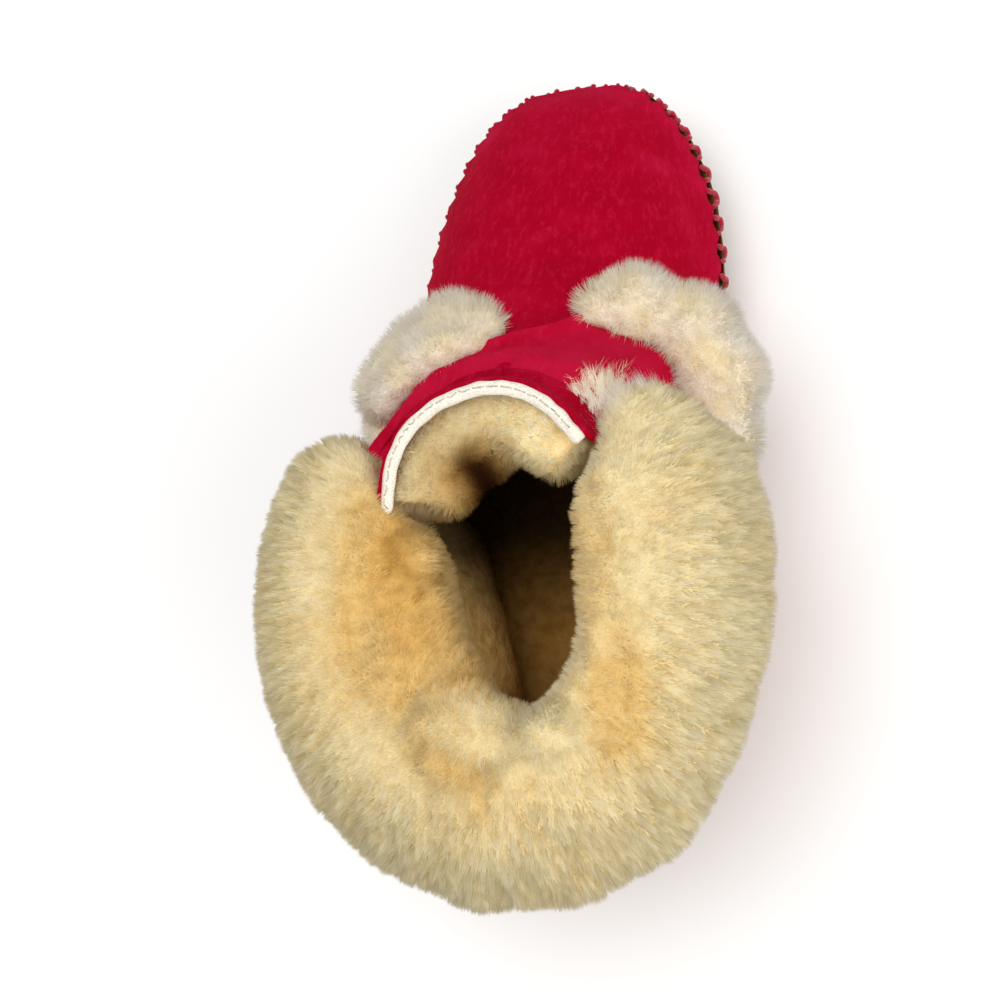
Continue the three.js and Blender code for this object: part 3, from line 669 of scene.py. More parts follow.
# Patches of short loose wool on the band, beside the cuff's end
FUZZ = (
    ((33, 63, 104), 5, 1.0), ((37, 66, 98.5), 5, 0.7), ((42, 68, 91), 4.5, 0.5), ((29, 67, 102.5), 3.5, 0.3),
)
# Two lines down the tongue: the mouth of the foot, dark with painted shade, and the golden wool round it,
# darkened by painted shade
TUNNEL = ((1, 44.5, 114), (-4, 33, 84))
TONGUE_GOLD = ((-3, 39, 125), (-1, 37, 70))
# Swellings of the tongue's wool and of the trims, and a dent where the height is below zero
TONGUE_LUMPS = (((20, 42, 101), 10, 4.5), ((-5, 34, 101), 9, 4.5), ((2, 44, 103), 5.5, -5.0))
TRIM_LUMPS = (((-18, 92, 84), 12, 2.0), ((33, 90, 80), 9, 1.5))
# In mm: one degree round the cuff, the mean radius of the rim and of the cuff. Locks are stretched downwards
CUFF_DEGREE = 1.3
RIM_RADIUS = 50
CUFF_RADIUS = 58
LOCK_STRETCH = 3.4


def rim_out(points):
    """About how far points are outside the rim of the shaft, in millimetres."""
    across = (points[:, 0] - RIM_MID[0]) / RIM_HALF[0]
    ahead = (points[:, 1] - RIM_MID[1]) / RIM_HALF[1]
    return (np.hypot(across, ahead) - 1) * RIM_RADIUS


def rim_turn(points):
    """Degrees round the rim of the shaft: 0 in front, a quarter turn on the inner side."""
    return np.degrees(np.arctan2(points[:, 0] - RIM_MID[0], points[:, 1] - RIM_MID[1])) % 360


def near_line(points, a, b):
    """Distance of points from a line between two places."""
    a, b = np.array(a, float), np.array(b, float)
    t = np.clip((points - a) @ (b - a) / ((b - a) @ (b - a)), 0, 1)
    return np.linalg.norm(points - a - t[:, None] * (b - a), axis=1)


def swell(points, lumps, start=0.0):
    """Rise at some places, each given by its place, radius and height, over a start."""
    rise = np.zeros(len(points)) + start
    for place, radius, height in lumps:
        rise += height * np.exp(-(np.linalg.norm(points - np.array(place), axis=1) / radius) ** 2)
    return rise


def add_hollows(values, points, strength, widen=1.0):
    """Adds the depth of the cuff's hollows, times a strength, to a value at each point."""
    for a, b, radius, depth in CUFF_HOLLOWS:
        values = values + strength * depth * np.exp(-(near_line(points, a, b) / (widen * radius)) ** 2)
    return values


def wisp_cover(points, normals):
    """Share of loose wool on the band: patches at the cuff's end, on its outer face."""
    return swell(points, FUZZ) * (normals[:, 1] + 0.4 * normals[:, 2] > 0.2)


def cuff_clefts(points):
    """Depth of the short partings that run down the cuff's outer side."""
    rng = np.random.default_rng(81)
    turn, out = rim_turn(points), rim_out(points)
    deep = np.zeros(len(points))
    for at in np.arange(50, 306, 4.2):
        at += rng.uniform(-1.8, 1.8)
        start, slant = rng.uniform(2, 22), rng.uniform(-0.12, 0.12)
        end = start + rng.uniform(7, 20)
        wide, depth = rng.uniform(0.8, 1.7), rng.uniform(0.6, 1.7)
        aside = (turn - at - slant * (out - start)) * CUFF_DEGREE
        deep += depth * np.exp(-(aside / wide) ** 2) * fade(out, start, 4) * fade(out, end, -5)
    return deep


def cuff_lumps(points):
    """Rise of the cuff's wool over its smooth form, in millimetres."""
    rise = 1.6 * swell(points, CUFF_TUFTS)
    rise += 0.7 * waves(points, 4.6, seed=83) * fade(rim_out(points), 2, -8)
    return add_hollows(rise, points, -1.0) - cuff_clefts(points)


def cuff_warmth(points):
    """How golden the cream wool is, from 0 to 1: its golden patches, painted shade in the clefts, hollows and
    inside the rim, and painted light that pales the tufts.
    """
    warm = 0.05 + 0.12 * waves(points, 16.0, seed=51) + 0.1 * waves(points, 5.0, seed=52)
    warm = swell(points, CUFF_GOLD, warm)
    # Painted shade in the clefts and hollows, and painted light that pales the tufts
    warm += 0.3 * cuff_clefts(points) - 0.14 * swell(points, CUFF_TUFTS)
    warm = add_hollows(warm, points, 0.18, 1.3)
    # Painted shade, golden, inside the rim
    return np.clip(warm + 0.5 * fade(rim_out(points), -3, -9), 0, 1)


def tuft_gaps(points):
    """Shade in the gaps round the tufts on the cuff's inner side, from 0 to 1."""
    shade = np.zeros(len(points))
    for place, radius, _ in INNER_TUFTS:
        away = np.linalg.norm(points - np.array(place), axis=1) + 2.0 * waves(points, 4.0, seed=55)
        shade += np.exp(-((away - 1.15 * radius) / 2.6) ** 2)
    return np.clip(shade, 0, 1) * fade(rim_out(points), 8, -8)


class SlipperPiece:
    """Shared by the operators: the sizes and colours, and undo."""

    bl_options = {"REGISTER", "UNDO"}

    def sizes(self):
        return bpy.context.scene.slipper_sizes

    def colour(self, name):
        return tuple(getattr(bpy.context.scene.slipper_colours, name))


class SLIPPER_OT_outsole(SlipperPiece, bpy.types.Operator):
    """Rubber outsole with a stitch channel round its edge, and its stitches"""

    bl_idname = "slipper.outsole"
    bl_label = "Outsole"

    def execute(self, context):
        # Inset and height of each ring: over the edge, round it, and through the stitch channel
        steps = (
            (3.0, 4.5), (0.4, 4.5), (0.0, 4.15), (0.0, 0.9), (0.25, 0.3), (0.9, 0.0),
            (4.3, 0.0), (4.6, 0.75), (6.2, 0.75), (6.5, 0.0), (12.0, 0.0),
        )
        sides, channel, thread_up, thread_dip = 144, 5.4, 0.68, 0.5
        rings = []
        for inset, up in steps:
            places = [outline(SOLE, 2 * math.pi * i / sides, inset) for i in range(sides)]
            rings.append([(x, y, sole_line(y) + up) for x, y in places])
        sheet = ring_mesh("outsole_sheet", rings)
        edit_all(("normals_make_consistent", {"inside": False}))
        bpy.ops.object.shade_smooth_by_angle(angle=math.radians(35))
        pebbled = rubber("pebbled_foam_rubber", self.colour("rubber"), self.colour("rubber_scuff"))
        settle(sheet, pebbled, "rubber_grey", "outsole")

        # Walk the channel in steps of one stitch and the gap after it
        fine, pitch = 2000, 1.42
        line = [outline(SOLE, 2 * math.pi * i / fine, channel) for i in range(fine + 1)]
        run = np.concatenate([[0], np.cumsum([math.dist(a, b) for a, b in zip(line, line[1:])])])
        xs, ys = np.array(line).T
        stitch = self.sizes().sole_stitch / MM
        total = int(run[-1] // (stitch * pitch))
        paths = []
        for k in range(total):
            begin = run[-1] * k / total
            path = []
            for t in (0.0, 0.12, 0.5, 0.88, 1.0):
                x, y = (np.interp(begin + t * stitch, run, row) for row in (xs, ys))
                up = thread_up + (thread_dip if t in (0.0, 1.0) else 0.0)
                path.append((x * MM, y * MM, (sole_line(y) + up) * MM))
            paths.append(path)
        thread = tubes("outsole_stitches", paths, self.sizes().sole_thread)
        pale = self.colour("thread")
        settle(thread, twisted("waxed_thread", pale, pale), "rubber_grey")
        return {"FINISHED"}


class SLIPPER_OT_sole_wrap(SlipperPiece, bpy.types.Operator):
    """Tan suede tray with its scalloped edge"""

    bl_idname = "slipper.sole_wrap"
    bl_label = "Sole wrap"

    def execute(self, context):
        wrap = node_copy("sole_wrap", "sole_wrap_suede")
        subdivide(wrap, 2)
        press(wrap, lambda p: 0.35 * waves(p, 16.0, seed=11) + 0.2 * waves(p, 5.0, seed=12))
        points = read_points(wrap)
        for point in points:
            x, y, z = point / MM
            high = fade(z - sole_line(y), 5, 21)
            toe = toe_side(x, y)
            # The inner side of the toe leans out as it rises, and elsewhere the edge turns in
            lean = toe * (3.4 * high - 2.6) - (1 - toe) * 2.2 * max(0, (high - 0.57) / 0.43) ** 2
            outward = Vector((x, y - min(max(y, 10), 150), 0)).normalized()
            point += np.array(outward) * lean * MM
        write_points(wrap, points)
        # The wrap darkens over its top 4.5 mm: the cut edge, and painted shade where the rim turns from the
        # light
        height = np.array([p[2] - sole_line(p[1]) for p in points / MM])
        paint(wrap, fade(height - WRAP_EDGE, -4.5, 3.0)[:, None], "raw_edge")
        tan, dark, cut_edge_and_shade = (self.colour(name) for name in ("tan", "tan_dark", "raw_edge"))
        light = tuple(min(1.0, 1.6 * c) for c in tan)
        brushed = suede("tan_split_suede", tan, dark, light, 0.15, cut_edge_and_shade, 1.0)
        settle(wrap, brushed, "suede_tan", "sole_wrap")
        return {"FINISHED"}


class SLIPPER_OT_upper(SlipperPiece, bpy.types.Operator):
    """Red suede upper with gathers at its lower edge, its band and its backstay"""

    bl_idname = "slipper.upper"
    bl_label = "Upper"

    def execute(self, context):
        light = self.colour("red_light")
        red = suede("red_split_suede", self.colour("red"), self.colour("red_dark"), light, 0.12, light)
        pucker = self.sizes().pucker / MM

        def over_edge(points):
            """Height over the wrap's edge, in millimetres."""
            return points[:, 2] - WRAP_EDGE - np.array([sole_line(y) for y in points[:, 1]])

        def gathers(points):
            """Puckers between the laces, soft unevenness, and two creases across the toes."""
            x, y, z = points.T
            angle = np.arccos(np.clip((y - FOOT["mid"]) / (FOOT["half"] - 3.8), -1, 1))
            rows = np.exp(-((over_edge(points) - 2.5) / 4.5) ** 2)
            toe = np.array([toe_side(*spot) for spot in zip(x, y)])
            drawn = (1.4 + 1.5 * toe + pucker * (0.3 - np.cos(STITCHES * angle))) * rows
            soft = 0.5 * waves(points, 30.0, seed=21) * fade(z, 34, 10)
            flex = -0.8 * np.exp(-((y - 126 - 0.06 * x) / 4.5) ** 2) * fade(z, 40, 12)
            fold = -0.7 * np.exp(-((y - 139 + 0.1 * x) / 4.0) ** 2) * fade(z, 44, 12)
            return drawn + soft + flex + fold

        upper = node_copy("upper", "upper_suede")
        subdivide(upper, 2)
        press(upper, gathers)
        # Paler along the lower edge and at the toe's end: wear, and a painted highlight of the nap's sheen
        places = read_points(upper) / MM
        worn_and_sheen = 0.5 * np.exp(-(np.maximum(over_edge(places), 0) / 6) ** 2) + 0.3 * fade(places[:, 1], 170, 40)
        worn_and_sheen *= np.clip(0.8 + 0.5 * waves(places, 14.0, seed=22), 0.2, 1.2)
        paint(upper, np.clip(worn_and_sheen, 0, 0.6)[:, None], "raw_edge")
        settle(upper, red, "suede_red", "upper")

        band = node_copy("instep_band", "instep_band_suede", quads=False)
        remesh(band, 0.8)
        modify(band, "SMOOTH", factor=0.5, iterations=12)
        wall = surface_of(upper)
        points, normals = read_points(band), read_normals(band)
        away = np.array([wall.find_nearest(Vector(p))[1] for p in points])
        along = normals - away * (normals * away).sum(1)[:, None]
        forward = along @ np.array([0.0, 0.9, -0.45])

        def from_edge(edge):
            """How far each point is from the points of an edge, in millimetres."""
            tree = KDTree(len(edge))
            for k in edge:
                tree.insert(points[k], k)
            tree.balance()
            return np.array([tree.find(p)[2] for p in points]) / MM

        # The front edge stands off the upper, and the top edge is drawn to the tongue
        facing = 0.6
        front, top = np.where(forward > facing)[0], np.where(forward < -facing)[0]
        lift = self.sizes().band_edge * np.exp(-(from_edge(front) / 3.0) ** 2) + 0.3 * MM
        moved = points + away * lift[:, None]
        sheet = NODES["tongue"].data
        tongue = BVHTree.FromPolygons(
            [tuple(v.co) for v in sheet.vertices], [tuple(f.vertices) for f in sheet.polygons],
        )
        for k, share in enumerate(0.9 * np.exp(-(from_edge(top) / 3.4) ** 2)):
            spot, _, _, gap = tongue.find_nearest(Vector(points[k]))
            if share > 0.02 and gap < 9 * MM:
                moved[k] += (np.array(spot) - points[k]) * share
        write_points(band, moved)
        modify(band, "SMOOTH", factor=0.5, iterations=4)
        # The band's paler red is painted light on its tilted face
        pale = suede("brushed_red_suede", self.colour("band"), self.colour("red"), light, 0.2)
        settle(band, pale, "suede_red", "instep_band")

        stay = node_copy("backstay", "backstay_suede", quads=False)
        remesh(stay, 0.7)
        modify(stay, "SMOOTH", factor=0.5, iterations=5)
        settle(stay, red, "suede_red", "backstay")
        return {"FINISHED"}


class SLIPPER_OT_tongue(SlipperPiece, bpy.types.Operator):
    """Red suede tongue and the white binding inside its edge"""

    bl_idname = "slipper.tongue"
    bl_label = "Tongue"

    def execute(self, context):
        tongue = node_copy("tongue", "tongue_suede")
        subdivide(tongue, 2)
        # The outer face comes out to the rim of the upper, as cloth pressed against it does
        wall = surface_of(bpy.data.objects["upper_suede"])
        points, normals = read_points(tongue), read_normals(tongue)
        for k, (point, normal) in enumerate(zip(points, normals)):
            spot, _, _, gap = wall.find_nearest(Vector(point))
            if Vector(normal).dot(spot - Vector(point)) > 0.3 * gap:
                points[k] += normal * 2.4 * MM * fade(gap / MM, 5.5, -3.0)
        write_points(tongue, points)
        settle(tongue, bpy.data.materials["red_split_suede"], "suede_red", "tongue")

        binding = node_copy("tongue_binding", "tongue_binding_tape")
        subdivide(binding, 2)
        inside = surface_of(tongue)
        points, normals = read_points(binding), read_normals(binding)
        for k, (point, normal) in enumerate(zip(points, normals)):
            spot, _, _, gap = inside.find_nearest(Vector(point), 4 * MM)
            if spot is not None and Vector(normal).dot(spot - Vector(point)) > 0.3 * gap:
                points[k] += 0.9 * (np.array(spot) - point)
        write_points(binding, points)
        press(binding, lambda p: 0.22 * waves(p, 3.2, seed=23) + 0.15)
        white = self.colour("binding")
        settle(binding, twisted("woven_cotton_tape", white, white, 0.78), "binding_white", "tongue_binding")

        # One row of stitches along the middle of the strip
        strip, middle = surface_of(binding), Vector((0.0, 40.0, 0.0)) * MM
        points = read_points(binding)
        angle = np.degrees(np.arctan2(points[:, 0] - middle.x, points[:, 1] - middle.y))
        line = []
        for at in np.arange(angle.min() + 3, angle.max() - 3, 2.0):
            part = points[np.abs(angle - at) < 2.0]
            if len(part):
                over = Vector(part.mean(0)) + Vector((0, 0, 6 * MM))
                spot, normal, _, _ = strip.ray_cast(over, Vector((0, 0, -1)))
                if spot:
                    line.append(spot + normal * 0.1 * MM)
        steps = np.concatenate([[0], np.cumsum([(b - a).length for a, b in zip(line, line[1:])])])
        track = np.array(line)
        stitch, pitch, paths = 3.4 * MM, 1.25, []
        for k in range(int(steps[-1] / (pitch * stitch))):
            at = (k * pitch + np.linspace(0, 1, 4)) * stitch
            paths.append([[np.interp(t, steps, track[:, c]) for c in range(3)] for t in at])
        thread = tubes("binding_stitches", paths, 0.24 * MM, 5)
        grey = self.colour("binding_thread")
        settle(thread, twisted("grey_cotton_thread", grey, grey), "binding_white")
        return {"FINISHED"}


class SLIPPER_OT_lining(SlipperPiece, bpy.types.Operator):
    """Insole and the wool that lines the foot"""

    bl_idname = "slipper.lining"
    bl_label = "Lining"

    def execute(self, context):
        brown = matted_wool("lining_wool")
        pile = self.sizes().lining_pile / MM

        def shaded(obj):
            """Brown wool with painted shade, darker towards the toe and in the depth, and painted light that
            makes the shaft's outer side paler.
            """
            p = read_points(obj) / MM
            # Painted light: the shaft's outer wall paler and more golden
            outer = fade(p[:, 0], 8, -12) * fade(p[:, 2], 25, 40)
            shade = mixed(self.colour("lining"), self.colour("gold_tip"), 0.75 * outer)
            shade = shade * (1 + 0.7 * outer)[:, None]
            # Painted shade towards the toe and low on the outer wall
            ahead = np.clip(1.1 - (p[:, 1] - 2 + 8 * outer) / (42 - 10 * outer), 0.12, 1.0)
            depth = 1 - 0.55 * outer * fade(p[:, 2], 88, -45)
            paint(obj, shade * (ahead * depth)[:, None])

        insole = node_copy("insole", "insole_wool")
        subdivide(insole, 2)
        press(insole, lambda p: 0.5 * waves(p, 7.0, seed=31))
        shaded(insole)
        settle(insole, brown, "wool_insole", "insole")

        # Rays from a line inside the foot: a fan at the heel, rows along it, a fan at the toe
        wall, ground = surface_of(bpy.data.objects["upper_suede"]), surface_of(insole)
        heel, toe, tilts = -20.0, 160.0, (17, 34, 50, 66, 82)
        rows = [(heel, -tilt) for tilt in reversed(tilts)]
        rows += [(heel + 6.0 * k, 0) for k in range(31)]
        rows += [(toe, tilt) for tilt in tilts]
        count, line_x, line_z, rim, missed = 60, 1.0, 30.0, 96, (60.0, 0.0)
        points, kept = [], []
        for y, tilt in rows:
            middle, lean = Vector((line_x, y, line_z)), math.radians(tilt)
            for k in range(count):
                turn = 2 * math.pi * k / count
                across, up = math.cos(turn) * math.cos(lean), math.sin(turn) * math.cos(lean)
                way = Vector((across, math.sin(lean), up))
                hits = [(tree.ray_cast(middle * MM, way), gap) for tree, gap in ((wall, pile), (ground, 1.0))]
                hits = [(hit[3] / MM, gap) for hit, gap in hits if hit[0]]
                far, gap = min(hits) if hits else missed
                top = line_z + far * way.z
                # The wool thins out towards the rim
                gap *= min(max((98 - top) / 20, 0.25), 1.0) if gap > 1 else 1.0
                p = middle + way * (far - gap)
                # The shaft's outer side sags inwards over the insole
                over = -10 - 0.35 * (p.y - 6)
                high = math.sin(math.pi * fade(p.z, 13, 78)) ** 0.6
                if p.x < over:
                    p.x += (over - p.x) * high * (fade(p.y, -36, 14) * fade(p.y, 54, -16))
                points.append(p * MM)
                kept.append(bool(hits) and top < rim)
        faces = []
        for r in range(len(rows) - 1):
            for k in range(count):
                n = (k + 1) % count
                face = (r * count + k, r * count + n, (r + 1) * count + n, (r + 1) * count + k)
                if all(kept[c] for c in face):
                    faces.append(face)
        lining = new_object("lining_wool", points, faces)
        edit_all(("delete_loose", {}))
        modify(lining, "SMOOTH", factor=0.5, iterations=4)
        modify(lining, "SOLIDIFY", thickness=1.0 * MM, offset=-1.0)
        subdivide(lining, 1)
        press(lining, lambda p: 0.35 * waves(p, 8.0, seed=32))
        bpy.ops.object.shade_smooth()
        shaded(lining)
        settle(lining, brown, "wool_insole")
        return {"FINISHED"}


class SLIPPER_OT_whip_lace(SlipperPiece, bpy.types.Operator):
    """Red lace that whips the wrap's edge to the upper: one straight and one slanting strand a hole"""

    bl_idname = "slipper.whip_lace"
    bl_label = "Whip lace"

    def execute(self, context):
        wrap = surface_of(bpy.data.objects["sole_wrap_suede"])
        upper = surface_of(bpy.data.objects["upper_suede"])
        radius = self.sizes().lace_radius
        drop, rise = self.sizes().lace_drop / MM, self.sizes().lace_rise / MM

        def on_foot(angle, inset, up):
            """A place on the foot's outline, at a height over the wrap's edge, in metres."""
            x, y = outline(FOOT, angle, inset)
            return x * MM, y * MM, (sole_line(y) + WRAP_EDGE + up) * MM

        def strand(low, high):
            """One strand, from its hole in the wrap over the edge to the upper."""
            foot = on_foot(low, -1.0, -drop)
            start = on_surface(wrap, foot, 0.1 * radius)
            rising = on_surface(wrap, (foot[0], foot[1], foot[2] + 0.5 * drop * MM), 0.45 * radius)
            path = [start - (rising - start) * 0.1, start, rising]
            bends = ((0.5, -4.0, -0.8, wrap), (0.65, -1.0, 4.0, wrap), (0.85, -1.0, 2.0, upper))
            for part, inset, up, tree in bends:
                path.append(on_surface(tree, on_foot(low + part * (high - low), inset, up), 0.55 * radius))
            return path + [on_surface(upper, on_foot(high, 0.0, rise), 0.1 * radius)]

        paths, holes = [], []
        step, slant, below = 2 * math.pi / STITCHES, 0.55, 0.6
        for k in range(STITCHES):
            here = step * k
            paths += [strand(here, here), strand(here, here + slant * step)]
            # A dark disc sunk in the wrap under each stitch: painted shade of the hole's depth
            x, y = outline(FOOT, here, -1.0)
            over = Vector((x, y, sole_line(y) + WRAP_EDGE - drop - below)) * MM
            spot, normal, _, _ = wrap.find_nearest(over)
            holes.append([spot - normal * 0.4 * MM, spot + normal * 0.05 * MM, spot + normal * 0.12 * MM])
        dark = self.colour("hole")
        settle(tubes("lace_holes", holes, 1.5 * radius, 8), twisted("punched_hole", dark, dark), "suede_tan")
        lace = tubes("whip_lace", paths, radius)
        subdivide(lace, 1)
        settle(lace, twisted("red_spun_lace", self.colour("lace"), self.colour("red_light")), "suede_red")
        return {"FINISHED"}


CUFF_FIBRES = 145000
PIECE_FIBRES = 40000
FUZZ_FIBRES = 2000
TONGUE_FIBRES = 20000
TRIM_FIBRES = (("medial", 22000), ("lateral", 16000))
# The cuff's wool in three pieces, from and to degrees round the rim
CUFF_PIECES = (("medial", 0, 140), ("back", 140, 215), ("lateral", 215, 360))


class SLIPPER_OT_fleece(SlipperPiece, bpy.types.Operator):
    """Wool of the cuff, of the tongue and of the two trims: matted ground and locks"""

    bl_idname = "slipper.fleece"
    bl_label = "Fleece"

    def execute(self, context):
        share = 1.0
        ground, fibres = matted_wool("matted_cream_wool"), wool("cream_wool")
        radius = self.sizes().fibre_radius
        wall = surface_of(bpy.data.objects["upper_suede"])
        rng = np.random.default_rng(71)

        def clear(spots, facing, room):
            """The places whose wool would not grow straight into the upper."""
            keep = np.ones(len(spots), dtype=bool)
            for k, (spot, normal) in enumerate(zip(spots, facing)):
                place, _, _, gap = wall.find_nearest(Vector(spot), room)
                if place is not None and Vector(normal).dot(place - Vector(spot)) > -0.1 * gap:
                    keep[k] = False
            return spots[keep], facing[keep]

        def creamy(warm):
            """Root and tip of the cream wool, more golden where it is warm."""
            root = mixed(self.colour("wool_root"), self.colour("gold_root"), warm)
            return root, mixed(self.colour("wool_tip"), self.colour("gold_tip"), warm)

        def cream(points):
            """The cuff's wool, with painted shade round its tufts, deep inside the shaft and outside the rim.
            """
            out = rim_out(points)
            # Painted shade outside the rim, most on the foot's outer side
            outer = fade(out, 2, 12) * fade(points[:, 0], 30, -50)
            # Painted shade round the inner tufts and, warm, deep inside the shaft
            gap = 1 - 0.3 * tuft_gaps(points)[:, None] - np.outer(fade(out, -13, -8), INNER_PAINTED_SHADE)
            gap = gap - np.outer(outer, OUTER_PAINTED_SHADE)
            return [shade * gap for shade in creamy(0.75 * cuff_warmth(points))]

        def tunnelled(points):
            """Cream on the tongue, golden in patches and towards the mouth of the foot, with painted shade in
            and round the mouth and underneath, and painted light towards the inner side.
            """
            # Golden wool round the mouth of the foot, darkened there by painted shade
            gold = np.exp(-(near_line(points, *TONGUE_GOLD) / 11.0) ** 2)
            warm = np.clip(0.12 + 0.2 * waves(points, 7.0, seed=54) + 0.7 * gold, 0, 1)
            # Painted shade: the wool darkens to brown in the mouth of the foot
            deep = 1 / (1 + (near_line(points, *TUNNEL) / 8.5) ** 4)
            # Painted shade, warm, on the tongue's lower part
            under = fade(points[:, 2], 108, -8)
            # Painted light: the tongue's wool brighter all over, more towards the inner side
            bright = np.clip(1.22 + 0.02 * points[:, :1], 0.9, 1.36)
            bright = bright - np.outer(gold, TONGUE_PAINTED_SHADE) - np.outer(under, INNER_PAINTED_SHADE)
            return [mixed(shade * bright, self.colour("tunnel_shade"), deep) for shade in creamy(warm)]

        def white(points):
            """Greyish white wool of the trims, creamier in patches."""
            part = np.clip(0.4 + 0.4 * waves(points, 9.0, seed=53), 0, 1)
            root = mixed(self.colour("white_root"), self.colour("wool_root"), part)
            return root, mixed(self.colour("white_tip"), self.colour("wool_tip"), 0.5 * part)

        def tinted(obj, tint):
            """Paints a ground with the tint of its wool, nearly all of it from the roots, whose darker colour
            is partly painted shade of the depth.
            """
            root, tip = tint(read_points(obj) / MM)
            paint(obj, 0.85 * root + 0.15 * tip)

        def comb(spots, facing, strength):
            """Away from the cuff's crest, outwards and inwards, and down a little outside."""
            p = spots / MM
            across = (p[:, 0] - RIM_MID[0]) / RIM_HALF[0] ** 2
            ahead = (p[:, 1] - RIM_MID[1]) / RIM_HALF[1] ** 2
            out = rim_out(p)
            way = unit(np.stack([across, ahead, np.zeros(len(p))], 1)) * np.tanh((out + 9) / 8)[:, None]
            way[:, 2] -= 0.35 * fade(out, 0, 20)
            way -= facing * (way * facing).sum(1)[:, None]
            return way * strength

        def seen_more(points, normals):
            """Fewer fibres where the wool is never seen close: underneath and deep inside."""
            deep = (points[:, 2] < 88) & (rim_out(points) < -4)
            return np.where(deep, 0.35, 1.0) * np.where(normals[:, 2] < -0.4, 0.4, 1.0)

        cuff = fleece_form(
            "cuff", "cuff_ground", voxel=1.9, smooth=300, sink=1.0, spread=18.0, lumps=cuff_lumps,
        )
        tinted(cuff, cream)
        settle(cuff, ground, "wool_cream", "cuff")
        spots, facing = scatter(cuff, int(CUFF_FIBRES * share), rng, seen_more)
        spots, facing = clear(spots, facing, 6 * MM)
        turn = rim_turn(spots / MM)
        for name, low, high in CUFF_PIECES:
            part = np.where((turn >= low) & (turn < high))[0][:PIECE_FIBRES]
            out = rim_out(spots[part] / MM)
            pile = self.sizes().cuff_pile * (0.75 + 0.45 * fade(out, 0, 18))
            flow = comb(spots[part], facing[part], 0.7)
            # Locks on the outer side are about three times as long as wide
            height = spots[part][:, 2] / MM
            cells = np.stack([
                np.radians(turn[part]) * CUFF_RADIUS, out / LOCK_STRETCH, height / LOCK_STRETCH,
            ], 1)
            parting_shade = 0.32 * np.clip((out - 1) / 10, 0.2, 1)
            obj = grow_wool(
                "cuff_wool_" + name, spots[part], facing[part], flow, pile, radius, cream, rng,
                gather=0.6, per_lock=36, stray=0.26, cells=cells, parting_shade=parting_shade,
            )
            settle(obj, fibres, "wool_cream")

        # Loose wool that falls forward on to the band from the cuff's two ends
        ends = (turn > 30) & (turn < 68) | (turn > 300) & (turn < 332)
        part = np.where(ends & (spots[:, 2] > 70 * MM) & (facing[:, 1] > 0.05))[0]
        tips = np.array(WISPS) * MM
        apart = np.linalg.norm(spots[part][:, None] - tips[None], axis=2)
        apart = apart * rng.uniform(0.6, 1.5, (len(part), len(tips)))
        way = tips[apart.argmin(1)] + rng.normal(scale=3.0 * MM, size=(len(part), 3)) - spots[part]
        reach = np.linalg.norm(way, axis=1)
        wisp = self.sizes().wisp
        part, way, reach = (rows[reach < 2.0 * wisp] for rows in (part, way, reach))
        long = np.minimum(reach, wisp) * rng.uniform(0.45, 0.95, len(part))
        # Short loose wool on the band itself
        band = bpy.data.objects["instep_band_suede"]
        fuzz, up = scatter(band, int(FUZZ_FIBRES * share), rng, wisp_cover)
        forward = np.tile([-0.25, 0.6, 0.25], (len(fuzz), 1)) + rng.normal(scale=0.35, size=(len(fuzz), 3))
        short = wisp * rng.uniform(0.2, 0.6, len(fuzz))
        obj = grow_wool(
            "cuff_wisps", np.concatenate([spots[part], fuzz]),
            np.concatenate([0.25 * facing[part], 0.6 * up]), np.concatenate([unit(way), forward]),
            np.concatenate([long, short]), 0.5 * radius, white, rng, gather=0.65, per_lock=32, stray=0.35,
        )
        settle(obj, fibres, "wool_cream")

        pad = fleece_form(
            "tongue_fleece", "tongue_ground", voxel=1.8, smooth=14, sink=1.2, spread=8.0,
            lumps=lambda p: swell(p, TONGUE_LUMPS),
        )
        tinted(pad, tunnelled)
        settle(pad, ground, "wool_cream", "tongue_fleece")
        spots, facing = scatter(pad, int(TONGUE_FIBRES * share), rng)
        flow = np.tile([0, -0.1, 0.3], (len(spots), 1))
        pile = self.sizes().tongue_pile * (1 - 0.6 * np.exp(-(near_line(spots / MM, *TUNNEL) / 7.0) ** 2))
        obj = grow_wool("tongue_wool", spots, facing, flow, pile, radius, tunnelled, rng)
        settle(obj, fibres, "wool_cream")

        for side, count in TRIM_FIBRES:
            node = "fleece_trim_" + side
            trim = fleece_form(
                node, "trim_ground_" + side, voxel=1.8, smooth=40, sink=-1.0, spread=11.0,
                lumps=lambda p: swell(p, TRIM_LUMPS),
            )
            tinted(trim, white)
            settle(trim, ground, "wool_white", node)
            spots, facing = scatter(trim, int(count * share), rng)
            spots, facing = clear(spots, facing, 5 * MM)
            flow = 0.5 * waves(spots / MM, 12.0, seed=61)[:, None] * unit(np.cross(facing, [0.3, 0.5, 0.8]))
            obj = grow_wool(
                "trim_wool_" + side, spots, facing, flow, self.sizes().trim_pile, 0.75 * radius, white, rng,
                gather=0.35, per_lock=26, stray=0.3,
            )
            settle(obj, fibres, "wool_white")
        return {"FINISHED"}


# The photograph's camera: degrees of pitch, yaw and roll, metres, and pixels of its frame of 1000
CAMERA_TURN = (72.1, -20.9, -21.9)
CAMERA_PLACE = (0.128, -0.058, 0.442)
FRAME_MIDDLE = 500
FOCAL_PIXELS = 1150
SHOE_PIXEL = (236, 545)
SENSOR = 36.0
FOCAL_SHARE = 1.28
# Where the lamps point, and each lamp's name, place in metres, width and power
LAMP_AIM = (0, 0.06, 0.05)
LAMPS = (
    ("key", (-0.1, 0.1, 1.25), 0.9, 7.6),
    ("fill", (0.9, -0.35, 0.6), 0.9, 5.0),
    ("side", (-0.9, -0.1, 0.6), 0.9, 0.5),
)


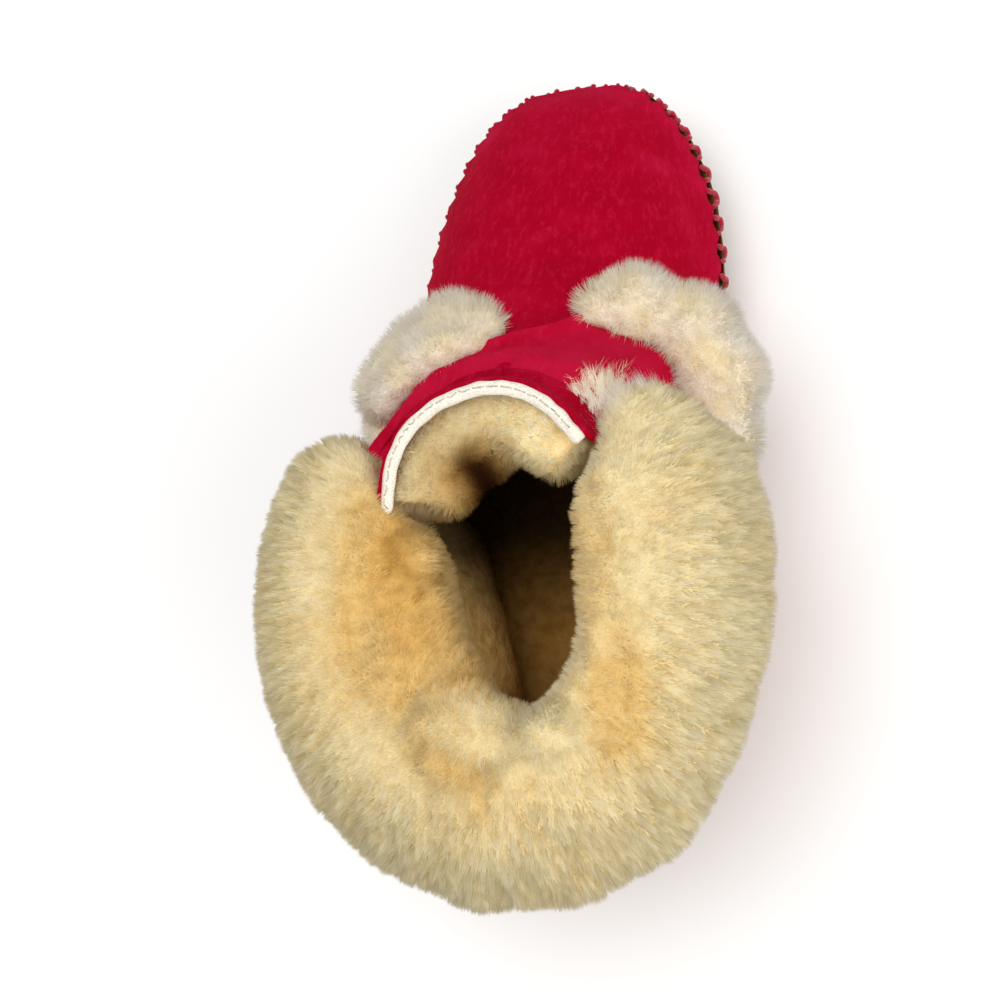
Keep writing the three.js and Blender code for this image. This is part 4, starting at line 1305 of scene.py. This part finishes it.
class SLIPPER_OT_stage(SlipperPiece, bpy.types.Operator):
    """Pale floor, soft studio light and the camera"""

    bl_idname = "slipper.stage"
    bl_label = "Stage"

    def execute(self, context):
        scene = context.scene
        deselect()
        bpy.ops.mesh.primitive_plane_add(size=6.0, location=(0, 0, 0))
        floor = context.object
        floor.name = "studio_floor"
        material, tree = blank_material("white_paper")
        close_material(tree, {"Base Color": (0.9, 0.9, 0.9, 1), "Roughness": 0.9}, {})
        floor.data.materials.append(material)

        world = bpy.data.worlds.new("studio")
        world.use_nodes = True
        background = world.node_tree.nodes["Background"].inputs
        background["Color"].default_value = (1.0, 1.0, 1.0, 1.0)
        background["Strength"].default_value = 0.65
        scene.world = world
        scene.view_settings.view_transform = "Standard"
        for name, place, wide, power in LAMPS:
            bpy.ops.object.light_add(type="AREA", location=place)
            lamp = context.object
            lamp.name = "studio_" + name
            lamp.data.size = wide
            lamp.data.energy = power
            lamp.rotation_mode = "QUATERNION"
            lamp.rotation_quaternion = (Vector(place) - Vector(LAMP_AIM)).to_track_quat("Z", "Y")

        # The photograph's place and tilt, turned to the one shoe in the middle of the frame
        pitch, yaw, roll = (math.radians(v) for v in CAMERA_TURN)
        forward = Vector((math.sin(yaw) * math.cos(pitch), math.cos(yaw) * math.cos(pitch), -math.sin(pitch)))
        right = Vector((math.cos(yaw), -math.sin(yaw), 0.0))
        up = right.cross(forward)
        cos, sin = math.cos(roll), math.sin(roll)
        right, up = cos * right + sin * up, cos * up - sin * right
        across, down = (pixel - FRAME_MIDDLE for pixel in SHOE_PIXEL)
        aim = (forward + right * across / FOCAL_PIXELS + up * -down / FOCAL_PIXELS).normalized()
        up = (up - aim * up.dot(aim)).normalized()
        camera = bpy.data.cameras.new("photo_camera")
        camera.sensor_width = SENSOR
        camera.lens = SENSOR * FOCAL_SHARE
        camera.clip_start = 0.01
        holder = bpy.data.objects.new("photo_camera", camera)
        scene.collection.objects.link(holder)
        turned = Matrix((aim.cross(up), up, -aim)).transposed().to_4x4()
        holder.matrix_world = Matrix.Translation(CAMERA_PLACE) @ turned
        scene.camera = holder
        return {"FINISHED"}


class SLIPPER_PT_panel(bpy.types.Panel):
    """Lists the pieces, sizes and colours"""

    bl_idname = "SLIPPER_PT_panel"
    bl_label = "Bootie slipper"
    bl_space_type = "VIEW_3D"
    bl_region_type = "UI"
    bl_category = "Slipper"

    def draw(self, context):
        for piece in PIECES:
            self.layout.operator(piece.bl_idname)
        for group in (context.scene.slipper_sizes, context.scene.slipper_colours):
            for key in group.bl_rna.properties.keys():
                if key not in ("rna_type", "name"):
                    self.layout.prop(group, key)


PIECES = (
    SLIPPER_OT_outsole, SLIPPER_OT_sole_wrap, SLIPPER_OT_upper, SLIPPER_OT_tongue, SLIPPER_OT_lining,
    SLIPPER_OT_whip_lace, SLIPPER_OT_fleece, SLIPPER_OT_stage,
)
CLASSES = (SlipperSizes, SlipperColours) + PIECES + (SLIPPER_PT_panel,)


def register():
    for item in CLASSES:
        bpy.utils.register_class(item)
    bpy.types.Scene.slipper_sizes = bpy.props.PointerProperty(type=SlipperSizes)
    bpy.types.Scene.slipper_colours = bpy.props.PointerProperty(type=SlipperColours)


def unregister():
    del bpy.types.Scene.slipper_colours
    del bpy.types.Scene.slipper_sizes
    for item in reversed(CLASSES):
        bpy.utils.unregister_class(item)


def main():
    register()
    for piece in PIECES:
        group, name = piece.bl_idname.split(".")
        getattr(getattr(bpy.ops, group), name)()
    deselect()
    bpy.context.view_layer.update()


if __name__ == "__main__":
    main()
